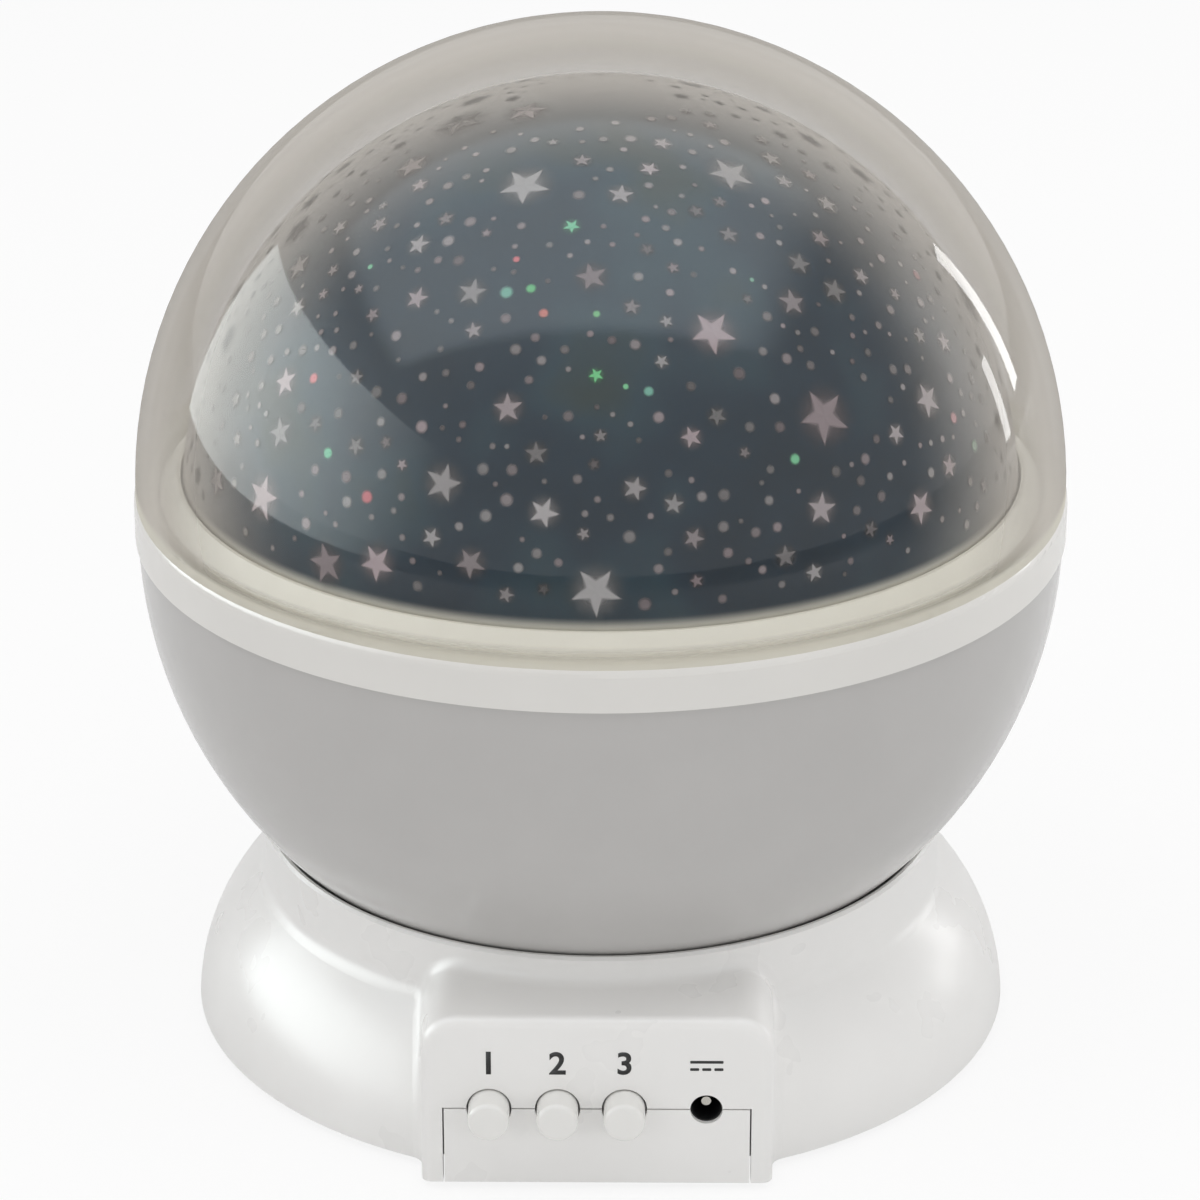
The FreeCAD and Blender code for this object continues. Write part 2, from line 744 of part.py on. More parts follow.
def battery_cover():
    body = new_body("battery_cover")
    half = "bay_half_width + cover_ledge - cover_gap"
    raised(body, "lid", "foot_height", "cover_plate_top",
           box("-(%s)" % half, half,
               "-bay_front - cover_ledge + cover_gap", "bay_back + cover_ledge - cover_gap"))
    raised(body, "lid_tab", "foot_height", "cover_plate_top",
           box("-cover_tab_half_width", "cover_tab_half_width",
               "-bay_front - cover_ledge - cover_tab_length + cover_gap", "-bay_front"))
    for side in ("-", ""):
        raised(body, "hook", "cover_plate_top - hook_thickness", "cover_plate_top",
               box("%shook_x - hook_half_width" % side, "%shook_x + hook_half_width" % side,
                   "bay_back", "bay_back + cover_ledge + hook_length"))
    sunk(body, "lid_screw_hole", "0", "cover_plate_top",
         circles([("0", "cover_screw_y")], "screw_radius + screw_play"))
    sunk(body, "lid_screw_seat", "0", "foot_height + screw_head_height",
         circles([("0", "cover_screw_y")], "screw_head_radius + screw_play"))
    return keep("battery_cover", body)


def feet():
    names = ("foot_front_right", "foot_front_left", "foot_rear_right", "foot_rear_left")
    for label, place in zip(names, feet_places()):
        body = new_body(label)
        raised(body, label + "_pad", "0", "foot_height + foot_recess", circles([place], "foot_radius"))
        keep(label, body)


# Screws

def screw(name, across, ahead, seat, length, upwards):
    """Pan head screw with a cross slot, its head seated at one height; upwards says which way it goes."""
    way = 1 if upwards else -1
    body = new_body(name)
    head_end = "(%s) - (%d) * screw_head_height" % (seat, way)
    shank_end = "(%s) + (%d) * (%s)" % (seat, way, length)
    low, high = (head_end, seat) if upwards else (seat, head_end)
    raised(body, name + "_head", low, high, circles([(across, ahead)], "screw_head_radius"))
    low, high = (seat, shank_end) if upwards else (shank_end, seat)
    raised(body, name + "_shank", low, high, circles([(across, ahead)], "screw_shank"))
    low, high = (head_end, "%s + screw_slot_depth" % head_end)
    if not upwards:
        low, high = ("%s - screw_slot_depth" % head_end, head_end)
    thin = "screw_slot / 2"
    for wide, deep in (("screw_slot_reach", thin), (thin, "screw_slot_reach")):
        sunk(body, name + "_slot", low, high,
             box("%s - %s" % (across, wide), "%s + %s" % (across, wide),
                 "%s - %s" % (ahead, deep), "%s + %s" % (ahead, deep)))
    return body


def group(label, pieces):
    compound = doc.addObject("Part::Compound", label)
    compound.Links = pieces
    doc.recompute()
    return keep(label, compound)


def vertical_screws():
    head_seat = "foot_height + screw_head_height"
    group("base_screws", [
        screw("base_screw_%d" % number, across, ahead, head_seat, "base_screw_length", True)
        for number, (across, ahead) in enumerate(post_places(), start=1)])
    keep("battery_cover_screw",
         screw("battery_cover_screw", "0", "cover_screw_y", head_seat, "cover_screw_length", True))
    group("gear_screws", [
        screw("gear_screw_%d" % number, across, ahead, "gear_bottom + screw_head_height",
              "gear_screw_length", True)
        for number, (across, ahead) in enumerate(spoke_places("gear_screw_out", QUARTER_TURN), start=1)])
    group("column_screws", [
        screw("column_screw_%d" % number, across, ahead, "column_flange_top", "column_screw_length", False)
        for number, (across, ahead) in enumerate(spoke_places("column_screw_out", QUARTER_TURN), start=1)])
    group("motor_screws", [
        screw("motor_screw_%s" % side, "%smotor_screw_out" % sign, "motor_y", "motor_top",
              "motor_screw_length", True)
        for side, sign in (("left", "-"), ("right", ""))])


def rod(name, radius, back, front, across, height):
    """Round bar along the panel's normal, between two distances ahead of the axis."""
    bar = doc.addObject("Part::Cylinder", name)
    bar.Placement = FreeCAD.Placement(FreeCAD.Vector(), FreeCAD.Rotation(X_AXIS, QUARTER_TURN))
    bar.setExpression("Radius", bound(radius))
    bar.setExpression("Height", bound("(%s) - (%s)" % (front, back)))
    bar.setExpression("Placement.Base.x", bound(across))
    bar.setExpression("Placement.Base.y", bound("-(%s)" % back))
    bar.setExpression("Placement.Base.z", bound(height))
    doc.recompute()
    return bar


def board_screws():
    screws = []
    for side, (across, height) in zip(("left", "right"), board_boss_places()):
        name = "board_screw_%s" % side
        head = rod(name + "_head", "screw_head_radius - screw_play", "board_back - screw_head_height",
                   "board_back", across, height)
        shank = rod(name + "_shank", "screw_shank", "board_back",
                    "board_back + board_screw_length", across, height)
        joined = doc.addObject("Part::MultiFuse", name)
        joined.Shapes = [head, shank]
        screws.append(joined)
    group("board_screws", screws)


# Panel parts

def buttons():
    for name, (across, height) in zip(("light", "colour", "spin"), button_places()):
        label = name + "_button"
        body = new_body(label)
        forward(body, label + "_cap", "flange_front", "button_front",
                circles([(across, height)], "button_radius"))
        front = -value("button_front")
        soften(body, label + "_round", "button_round", lambda extent: extent.YMax < front + TINY)
        forward(body, label + "_flange", "flange_back", "flange_front",
                circles([(across, height)], "button_flange_radius"))
        keep(label, body)
        plunger_back = "flange_back - plunger_length"
        keep(name + "_plunger", rod(name + "_plunger", "plunger_radius", plunger_back, "flange_back",
                                    across, height))
        switch = new_body(name + "_switch")
        half = "switch_width / 2"
        forward(switch, name + "_switch_case", "board_front", "switch_front",
                box("%s - %s" % (across, half), "%s + %s" % (across, half),
                    "%s - %s" % (height, half), "%s + %s" % (height, half)))
        bored(switch, name + "_switch_well", "switch_front - plunger_well", "switch_front",
              circles([(across, height)], "plunger_radius + plunger_play"))
        keep(name + "_switch", switch)


def dc_jack():
    body = new_body("dc_jack")
    half = "jack_width / 2"
    forward(body, "jack_block", "jack_back", "jack_front",
            box("jack_x - %s" % half, "jack_x + %s" % half, "jack_bottom", "jack_bottom + jack_tall"))
    place = [("jack_x", "button_height")]
    forward(body, "jack_nose", "jack_front", "jack_nose_front", circles(place, "jack_nose_radius"))
    bored(body, "jack_bore", "jack_bore_end", "jack_nose_front", circles(place, "jack_bore_radius"))
    keep("dc_jack", body)
    keep("dc_jack_pin", rod("dc_jack_pin", "jack_pin_radius", "jack_bore_end",
                            "jack_bore_end + jack_pin_length", "jack_x", "button_height"))


def circuit_board():
    body = new_body("main_board")
    forward(body, "board_sheet", "board_back", "board_front",
            box("-board_left", "board_right", "board_low", "board_high"))
    bored(body, "board_holes", "board_back", "board_front",
          circles(board_boss_places(), "screw_radius + screw_play"))
    keep("main_board", body)
    chip = new_body("board_chip")
    forward(chip, "chip_case", "board_back - chip_depth", "board_back",
            box("chip_x - chip_width / 2", "chip_x + chip_width / 2",
                "chip_height - chip_tall / 2", "chip_height + chip_tall / 2"))
    keep("board_chip", chip)
    keep("board_capacitor", rod("board_capacitor", "capacitor_radius", "board_back - capacitor_length",
                                "board_back", "capacitor_x", "chip_height"))


# Batteries

def cell_numbers():
    return range(int(round(value("cell_count"))))


def cell_across(number):
    return "cell_pitch * (%d - (cell_count - 1) / 2)" % number


def cells():
    """Cells side by side, each the other way round from the next, nub away from its spring."""
    for number in cell_numbers():
        label = "battery_cell_%d" % (number + 1)
        front_nub = number % 2 == 0
        front = "bay_front - contact_thickness"
        if not front_nub:
            front += " - spring_length"
        back = "%s - cell_length" % front
        nub, can = "cell_nub_length", "cell_length - cell_nub_length"
        can_back = back if front_nub else "%s + %s" % (back, nub)
        nub_back = "%s + %s" % (back, can) if front_nub else back
        case = rod(label + "_can", "cell_radius", can_back, "%s + %s" % (can_back, can),
                   cell_across(number), "cell_height")
        tip = rod(label + "_nub", "cell_nub_radius", nub_back, "%s + %s" % (nub_back, nub),
                  cell_across(number), "cell_height")
        joined = doc.addObject("Part::MultiFuse", label)
        joined.Shapes = [case, tip]
        keep(label, joined)


def contacts():
    """A plate at each end of each cell."""
    plates = []
    for number in cell_numbers():
        for end, front in (("front", "bay_front"), ("back", "-bay_back + contact_thickness")):
            plate = doc.addObject("Part::Box", "contact_%s_%d" % (end, number + 1))
            plate.setExpression("Length", bound("contact_width"))
            plate.setExpression("Width", bound("contact_thickness"))
            plate.setExpression("Height", bound("contact_tall"))
            plate.setExpression("Placement.Base.x", bound("%s - contact_width / 2" % cell_across(number)))
            plate.setExpression("Placement.Base.y", bound("-(%s)" % front))
            plate.setExpression("Placement.Base.z", bound("cell_height - contact_tall / 2"))
            plates.append(plate)
    group("battery_contacts", plates)


def springs():
    """One bowed leaf between each cell's flat end and its plate, its crown against the cell."""
    leaves = []
    for number in cell_numbers():
        front_nub = number % 2 == 0
        plate = "bay_back - contact_thickness" if front_nub else "-bay_front + contact_thickness"
        leaf = new_body("leaf_%d" % (number + 1))
        raised(leaf, "leaf_bow_%d" % (number + 1), "cell_height - spring_half_width",
               "cell_height + spring_half_width", bow(cell_across(number), plate, -1 if front_nub else 1))
        leaves.append(leaf)
    group("battery_springs", leaves)


def bow(across, plate, way):
    """Bowed strip seen from above, its ends on a plate and its crown ahead (1) or behind (-1)."""
    inner = "(spring_half_span - spring_end)"
    low = "(spring_length - spring_sheet)"

    def draw(sketch):
        outline(sketch, [
            ("%s - spring_half_span" % across, plate),
            ("%s + spring_half_span" % across, plate, bulge("spring_half_span", "spring_length"), way),
            ("%s + %s" % (across, inner), plate),
            ("%s - %s" % (across, inner), plate, bulge(inner, low), -way),
        ])
    return draw


def group_shape(label, shape):
    piece = doc.addObject("Part::Feature", label)
    piece.Shape = shape
    return keep(label, piece)


# Drive

def gear_outline(teeth, module, backlash, phase):
    """Points round a spur gear with straight-sided teeth, phase in tooth pitches."""
    pitch_radius = module * teeth / 2
    tip = pitch_radius + module * ADDENDUM
    root = pitch_radius - module * DEDENDUM
    pitch = 2 * math.pi / teeth
    half = pitch / 4 - backlash / 4 / pitch_radius
    tip_half = half * TIP_SHARE
    root_half = half * ROOT_SHARE
    points = []
    for tooth in range(teeth):
        centre = (tooth + phase) * pitch
        for offset, radius in ((-root_half, root), (-tip_half, tip), (tip_half, tip), (root_half, root)):
            angle = centre + offset
            points.append(FreeCAD.Vector(radius * math.cos(angle), radius * math.sin(angle), 0))
    points.append(points[0])
    return points


def toothed_wheel(teeth, phase, height):
    points = gear_outline(int(round(value(teeth))), value("gear_module"), value("tooth_backlash"), phase)
    face = Part.Face(Part.makePolygon(points))
    return face.extrude(FreeCAD.Vector(0, 0, height))


def bar(radius, low, high, place=(0.0, 0.0)):
    return Part.makeCylinder(radius, high - low, FreeCAD.Vector(place[0], place[1], low))


def ring_gear():
    """Spur gear under the bowl's floor, screwed to it; a tooth points at the pinion."""
    low, high = value("gear_bottom"), value("floor_under")
    quarter = int(round(value("gear_teeth"))) / 4
    wheel = toothed_wheel("gear_teeth", quarter - math.floor(quarter), high - low)
    wheel.translate(FreeCAD.Vector(0, 0, low))
    wheel = wheel.cut(bar(value("bush_radius + bush_seat_play"), low, high))
    for across, ahead in spoke_places("gear_screw_out", QUARTER_TURN):
        place = (value(across), value(ahead))
        wheel = wheel.cut(bar(value("screw_radius + screw_play"), low, high, place))
        seat = value("gear_bottom + screw_head_height")
        wheel = wheel.cut(bar(value("screw_head_radius + screw_play"), low, seat, place))
    group_shape("ring_gear", wheel)


def motor_pinion():
    """Pinion with a gap between two teeth pointing at the ring gear."""
    teeth = int(round(value("pinion_teeth")))
    low, high = value("pinion_bottom"), value("pinion_top")
    phase = HALF_PITCH - teeth / 4
    wheel = toothed_wheel("pinion_teeth", phase, high - low)
    wheel = wheel.cut(bar(value("motor_shaft_radius"), 0, high - low))
    wheel.translate(FreeCAD.Vector(0, value("motor_y"), low))
    group_shape("motor_pinion", wheel)
    shaft = new_body("motor_shaft")
    raised(shaft, "shaft_bar", "motor_top - motor_shaft_in", "pinion_top - motor_shaft_short",
           circles([("0", "motor_y")], "motor_shaft_radius"))
    keep("motor_shaft", shaft)


def gear_motor():
    body = new_body("gear_motor")
    raised(body, "motor_can", "motor_top - motor_length", "motor_top",
           circles([("0", "motor_y")], "motor_radius"))
    raised(body, "motor_ears", "motor_top", "deck_under",
           box("-motor_ear_half_length", "motor_ear_half_length",
               "motor_y - motor_ear_half_width", "motor_y + motor_ear_half_width"))
    raised(body, "motor_nose", "deck_under", "deck_under + motor_nose_rise",
           circles([("0", "motor_y")], "motor_nose_radius"))
    sunk(body, "motor_bore", "motor_top - motor_shaft_in - shaft_play", "deck_under + motor_nose_rise",
         circles([("0", "motor_y")], "motor_shaft_radius + shaft_play"))
    sunk(body, "motor_ear_holes", "motor_top", "deck_under",
         circles([("motor_screw_out", "motor_y"), ("-motor_screw_out", "motor_y")],
                 "screw_radius + screw_play"))
    keep("gear_motor", body)


def hub_bush():
    turned("hub_bush", [
        ("boss_radius + bush_play", "bush_bottom"),
        ("bush_flange_radius", "bush_bottom"),
        ("bush_flange_radius", "gear_bottom"),
        ("bush_radius", "gear_bottom"),
        ("bush_radius", "hub_top"),
        ("boss_radius + bush_play", "hub_top"),
    ])


# Ball

def lower_bowl():
    body = new_body("lower_bowl")
    inner_floor = "sqrt(bowl_inner^2 - (ring_bottom - floor_top)^2)"
    seat = "bush_radius + bush_seat_play"
    turn(body, "bowl_shell", [
        (seat, "floor_under"),
        ("bowl_floor_radius", "floor_under"),
        ("bowl_radius", "ring_bottom", "bowl_radius", -1),
        ("bowl_inner", "ring_bottom"),
        (inner_floor, "floor_top", "bowl_inner", 1),
        ("%s + bowl_hub_wall" % seat, "floor_top"),
        ("%s + bowl_hub_wall" % seat, "hub_top"),
        (seat, "hub_top"),
    ])
    spokes = spoke_places("gear_screw_out", QUARTER_TURN)
    raised(body, "gear_bosses", "floor_under", "floor_top + gear_boss_rise",
           circles(spokes, "gear_boss_radius"))
    sunk(body, "gear_boss_holes", "floor_under", "floor_top + gear_boss_rise",
         circles(spokes, "screw_radius - screw_play"))
    keep("lower_bowl", body)


def dome_ring():
    spigot = "bowl_inner - ring_spigot_play"
    outer = "ball_radius + ring_proud"
    turned("dome_ring", [
        (outer, "ring_bottom"),
        (outer, "ring_top - ring_edge"),
        ("ball_radius", "ring_top", bulge("ring_edge", "ring_proud"), -1),
        ("ring_inner", "ring_top"),
        ("ring_inner", "ledge_top"),
        ("ledge_inner", "ledge_top"),
        ("ledge_inner", "ledge_top - ring_ledge_thickness"),
        ("%s - ring_spigot_wall" % spigot, "ledge_top - ring_ledge_thickness"),
        ("%s - ring_spigot_wall" % spigot, "ring_bottom - ring_spigot_depth"),
        (spigot, "ring_bottom - ring_spigot_depth"),
        (spigot, "ring_bottom"),
    ])


def star_collar():
    turned("star_collar", [
        ("collar_inner", "ledge_top"),
        ("collar_outer", "ledge_top"),
        ("collar_outer", "ring_top + collar_shoulder"),
        ("collar_inner + collar_lip", "collar_top"),
        ("collar_inner", "collar_top"),
    ])


def star_dome():
    turned("star_dome", [
        ("star_inner", "ledge_top"),
        ("star_dome_radius", "ledge_top"),
        ("star_dome_radius", "star_centre"),
        ("0", "star_centre + star_dome_radius", "star_dome_radius", -1),
        ("0", "star_centre + star_inner"),
        ("star_inner", "star_centre", "star_inner", 1),
    ])


def outer_dome():
    ramp_top = "ring_top + spigot_ramp"
    turned("outer_dome", [
        ("ball_radius", "ring_top"),
        ("0", "cover_top", "ball_radius", -1),
        ("0", "ring_top + cover_inner"),
        ("sqrt(cover_inner^2 - (%s - ring_top)^2)" % ramp_top, ramp_top, "cover_inner", 1),
        ("spigot_inner", "ring_top"),
        ("spigot_inner", "ring_top - cover_spigot_depth"),
        ("spigot_outer", "ring_top - cover_spigot_depth"),
        ("spigot_outer", "ring_top"),
    ])


# Lamp

def lamp_column():
    body = new_body("lamp_column")
    turn(body, "column_tube", [
        ("column_bore", "boss_top"),
        ("column_flange_radius", "boss_top"),
        ("column_flange_radius", "column_flange_top"),
        ("column_radius", "column_flange_top"),
        ("column_radius", "column_top"),
        ("column_bore", "column_top"),
    ])
    sunk(body, "column_flange_holes", "boss_top", "column_flange_top",
         circles(spoke_places("column_screw_out", QUARTER_TURN), "screw_radius + screw_play"))
    keep("lamp_column", body)


def lamp_cup():
    turned("lamp_cup", [
        ("cup_bore", "cup_bottom - cup_spigot_depth"),
        ("column_bore - cup_spigot_play", "cup_bottom - cup_spigot_depth"),
        ("column_bore - cup_spigot_play", "cup_bottom"),
        ("cup_radius", "cup_bottom"),
        ("cup_radius", "cup_rim"),
        ("cup_inner", "cup_rim"),
        ("cup_inner", "lamp_board_bottom"),
        ("cup_inner - cup_step_wall", "lamp_board_bottom"),
        ("cup_inner - cup_step_wall", "cup_bottom + cup_floor"),
        ("cup_bore", "cup_bottom + cup_floor"),
    ])


def lamp_board():
    body = new_body("lamp_board")
    raised(body, "lamp_board_disc", "lamp_board_bottom", "lamp_board_top",
           circles([("0", "0")], "cup_inner - lamp_board_play"))
    keep("lamp_board", body)


def leds():
    """Four round-nosed lamps on the lamp board."""
    corners = {"warm": ("-", "-"), "red": ("-", ""), "green": ("", "-"), "blue": ("", "")}
    for colour, (side, way) in corners.items():
        label = "led_" + colour
        low, shoulder = value("lamp_board_top"), value("lamp_board_top + led_height")
        radius = value("led_radius")
        place = (value(side + "led_out"), value(way + "led_out"))
        flange = bar(value("led_radius + led_flange"), low, low + value("led_flange_height"), place)
        nose = Part.makeSphere(radius, FreeCAD.Vector(place[0], place[1], shoulder))
        group_shape(label, flange.fuse([bar(radius, low, shoulder, place), nose]).removeSplitter())


# Leads

def lead(points, radius, bend):
    """Round lead along straight runs joined by tangent arcs."""
    edges = []
    start = points[0]
    for before, corner, after in zip(points, points[1:], points[2:]):
        into, out = (before - corner).normalize(), (after - corner).normalize()
        half_turn = into.getAngle(out) / 2
        setback = bend / math.tan(half_turn)
        first, last = corner + into * setback, corner + out * setback
        centre = corner + (into + out).normalize() * (bend / math.sin(half_turn))
        middle = centre + (corner - centre).normalize() * bend
        edges.append(Part.LineSegment(start, first).toShape())
        edges.append(Part.Arc(first, middle, last).toShape())
        start = last
    edges.append(Part.LineSegment(start, points[-1]).toShape())
    direction = points[1] - points[0]
    section = Part.Wire(Part.makeCircle(radius, points[0], direction))
    return Part.Wire(edges).makePipeShell([section], True, False)


def leads():
    height = value("lead_height")
    end = -value("board_back")
    lamp_points = [FreeCAD.Vector(0, 0, value("lamp_board_bottom")), FreeCAD.Vector(0, 0, height),
                   FreeCAD.Vector(0, end, height)]
    group_shape("lamp_lead", lead(lamp_points, value("lamp_lead_radius"), value("lamp_lead_bend")))
    across = value("motor_lead_x")
    motor_side = value("motor_y - sqrt(motor_radius^2 - (motor_lead_x - lead_radius)^2) - shaft_play")
    motor_runs = []
    for sign in (-1, 1):
        run = [FreeCAD.Vector(sign * across, motor_side, height), FreeCAD.Vector(sign * across, end, height)]
        motor_runs.append(lead(run, value("lead_radius"), 0))
    group_shape("motor_leads", Part.makeCompound(motor_runs))
    battery_runs = []
    for number in range(2):
        across = value("-battery_lead_x - battery_lead_pitch * %d" % number)
        battery_height = value("battery_lead_height")
        run = [FreeCAD.Vector(across, -value("bay_front + bay_wall"), battery_height),
               FreeCAD.Vector(across, end, battery_height)]
        battery_runs.append(lead(run, value("lead_radius"), 0))
    group_shape("battery_leads", Part.makeCompound(battery_runs))


def build():
    fill_sheet()
    base_housing()
    base_plate()
    battery_cover()
    feet()
    vertical_screws()
    board_screws()
    buttons()
    dc_jack()
    circuit_board()
    cells()
    contacts()
    springs()
    ring_gear()
    motor_pinion()
    gear_motor()
    hub_bush()
    lower_bowl()
    dome_ring()
    star_collar()
    star_dome()
    outer_dome()
    lamp_column()
    lamp_cup()
    lamp_board()
    leds()
    leads()
    doc.recompute()


def check():
    """Stop if anything failed to rebuild or a sub-part is not a sound solid."""
    for item in doc.Objects:
        if "Invalid" in item.State or "Error" in item.State:
            raise RuntimeError("%s failed to rebuild: %s" % (item.Name, item.State))
    for piece in nodes:
        shape = piece.Shape
        if shape.isNull() or not shape.isValid() or not shape.Solids or shape.Volume <= 0:
            raise RuntimeError("%s is not a sound solid" % piece.Label)


def write():
    os.makedirs("parts", exist_ok=True)
    for piece in nodes:
        piece.Shape.exportStep(os.path.join("parts", piece.Label + ".step"))
        print("%-22s %2d solid(s) %12.1f mm3" % (piece.Label, len(piece.Shape.Solids), piece.Shape.Volume))


build()
check()
write()
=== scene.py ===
import math
import random

import bmesh
import bpy
from bpy.props import FloatProperty, FloatVectorProperty, IntProperty, PointerProperty
from mathutils import Matrix, Quaternion, Vector


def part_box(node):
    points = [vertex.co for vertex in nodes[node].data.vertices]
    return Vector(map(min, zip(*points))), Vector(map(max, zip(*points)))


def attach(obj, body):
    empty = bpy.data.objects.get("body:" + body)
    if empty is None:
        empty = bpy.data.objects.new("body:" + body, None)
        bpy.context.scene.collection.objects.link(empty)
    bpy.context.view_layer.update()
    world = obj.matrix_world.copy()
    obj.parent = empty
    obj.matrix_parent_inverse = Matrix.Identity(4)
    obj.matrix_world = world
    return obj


bl_info = {
    "name": "Planetarium Projector",
    "version": (1, 0, 0),
    "blender": (4, 5, 0),
    "location": "View3D > Sidebar > Projector",
    "description": "Gives the packed star projector its finishes, star windows and printed marks",
    "category": "Object",
}

MM = 0.001
PHOTO_WIDTH = 1200.0                # pixels of the whole picture, both ways
DRIFT_SIZE = 14 * MM                # slow change of colour and gloss over a moulding
PLATING_DEPTH = 0.002 * MM          # unevenness of plated or drawn metal

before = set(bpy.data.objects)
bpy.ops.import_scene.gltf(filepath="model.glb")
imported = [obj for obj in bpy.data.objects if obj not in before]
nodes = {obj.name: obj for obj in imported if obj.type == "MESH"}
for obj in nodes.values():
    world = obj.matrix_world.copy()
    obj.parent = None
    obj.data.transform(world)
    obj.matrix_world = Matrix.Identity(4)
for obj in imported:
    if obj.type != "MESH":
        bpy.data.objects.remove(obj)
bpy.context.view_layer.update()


def top(name):
    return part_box(name)[1]


def bottom(name):
    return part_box(name)[0]


def middle(name):
    low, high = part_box(name)
    return (Vector(low) + Vector(high)) / 2


def linear(code):
    """Scene-linear colour of an sRGB hex code."""
    parts = [int(code[place:place + 2], 16) / 255 for place in (1, 3, 5)]
    return tuple(part / 12.92 if part <= 0.04045 else ((part + 0.055) / 1.055) ** 2.4 for part in parts)


def colour(name, description, code):
    return FloatVectorProperty(name=name, description=description, subtype="COLOR", size=3,
                               min=0.0, max=1.0, default=linear(code))


def length(name, description, size):
    return FloatProperty(name=name, description=description, default=size, min=0.0, unit="LENGTH")


def count(name, description, number):
    return IntProperty(name=name, description=description, default=number, min=0)


class ProjectorSizes(bpy.types.PropertyGroup):
    dome_radius: length("Star dome radius", "Outside of the dark star dome",
                        (top("star_dome")[0] - bottom("star_dome")[0]) / 2)
    window_lift: length("Window lift", "Print of the star windows above the dome's skin", 0.12 * MM)
    # The halos are painted glow: dim, soft-edged discs round each star window.
    halo_lift: length("Halo lift", "Blurred rims of the windows above the dome's skin", 0.07 * MM)
    large_star: length("Large star", "Radius of the largest star windows", 4.3 * MM)
    small_star: length("Small star", "Radius of the middling star windows", 1.7 * MM)
    dot: length("Dot", "Radius of the largest round windows", 1.15 * MM)
    window_gap: length("Window gap", "Least space between two windows", 0.4 * MM)
    large_stars: count("Large stars", "How many large star windows", 30)
    small_stars: count("Small stars", "How many small star windows", 150)
    dots: count("Dots", "How many round windows", 800)
    mark_height: length("Mark height", "Height of the numbers over the buttons", 3.4 * MM)
    mark_rise: length("Mark rise", "Middle of the marks above the button centres", 6.9 * MM)
    mark_line: length("Mark line", "Thickness of the bars over the jack", 0.4 * MM)
    mark_print: length("Print", "Thickness of the printed marks", 0.03 * MM)
    rib_length: length("Rib length", "Grip ribs under the battery cover", 15.0 * MM)
    rib_pitch: length("Rib pitch", "Distance between two grip ribs", 2.2 * MM)
    resistor_length: length("Resistor length", "Chip resistors on the board", 2.0 * MM)
    resistor_pitch: length("Resistor pitch", "Distance between two resistors", 3.2 * MM)


class ProjectorColours(bpy.types.PropertyGroup):
    white: colour("White ABS", "Base and plate", "#EEEDEB")
    ring: colour("Ring ABS", "Ring round the ball", "#DFDDD9")
    grey: colour("Grey ABS", "Lower bowl", "#B9B7B5")
    cream: colour("Cream ABS", "Collar under the cover", "#DFDBCD")
    haze: colour("Cover haze", "Milky edge of the clear cover", "#D0C9BF")
    film: colour("Star film", "Dark print on the star dome", "#142734")
    window: colour("Star window", "Clear windows in the print", "#D8D6D6")
    ink: colour("Ink", "Printed marks", "#232323")


# Materials

def add(tree, kind, settings=None, **inputs):
    """Add one node with its settings, then set or link its inputs.

    An input goes by its name with underscores, or by i and its number. A node given to it lends its first
    output. A colour ramp's (position, colour) stops are a setting.
    """
    made = tree.nodes.new(kind)
    for name, setting in (settings or {}).items():
        if name != "stops":
            setattr(made, name, setting)
            continue
        elements = made.color_ramp.elements
        while len(elements) < len(setting):
            elements.new(0.5)
        for element, (position, shade) in zip(elements, setting):
            element.position = position
            element.color = (*shade, 1.0)
    for name, source in inputs.items():
        numbered = name[0] == "i" and name[1:].isdigit()
        socket = made.inputs[int(name[1:]) if numbered else name.replace("_", " ")]
        if isinstance(source, bpy.types.Node):
            source = source.outputs[0]
        if isinstance(source, bpy.types.NodeSocket):
            tree.links.new(source, socket)
        elif socket.type == "RGBA":
            socket.default_value = (*source, 1.0)
        else:
            socket.default_value = source
    return made


def new_material(name):
    """A material with an empty tree."""
    material = bpy.data.materials.new(name)
    material.use_nodes = True
    material.node_tree.nodes.clear()
    return material, material.node_tree


def grey(level):
    return (level, level, level)


def scaled(shade, share):
    return tuple(part * share for part in shade)


def moulded(name, shade, roughness, grain_mm, grain_depth_mm=0.004, drift=0.03):
    """Moulded plastic: nearly even colour, a slight ripple in the skin and a gloss that varies a little."""
    material, tree = new_material(name)
    place = add(tree, "ShaderNodeTexCoord").outputs["Object"]
    cloud = add(tree, "ShaderNodeTexNoise", Vector=place, Scale=1 / DRIFT_SIZE, Detail=3.0)
    ripple = add(tree, "ShaderNodeTexNoise", Vector=place, Scale=1 / (grain_mm * MM), Detail=2.0)
    pale = [min(1.0, part) for part in scaled(shade, 1 + drift)]
    tone = add(tree, "ShaderNodeValToRGB", {"stops": [(0.3, scaled(shade, 1 - drift)), (0.7, pale)]},
               Fac=cloud)
    gloss = add(tree, "ShaderNodeValToRGB",
                {"stops": [(0.3, grey(roughness * 0.85)), (0.7, grey(roughness * 1.15))]}, Fac=cloud)
    relief = add(tree, "ShaderNodeBump", Height=ripple, Distance=grain_depth_mm * MM, Strength=1.0)
    skin = add(tree, "ShaderNodeBsdfPrincipled", Base_Color=tone, Roughness=gloss, IOR=1.5,
               Normal=relief)
    add(tree, "ShaderNodeOutputMaterial", Surface=skin)
    return material


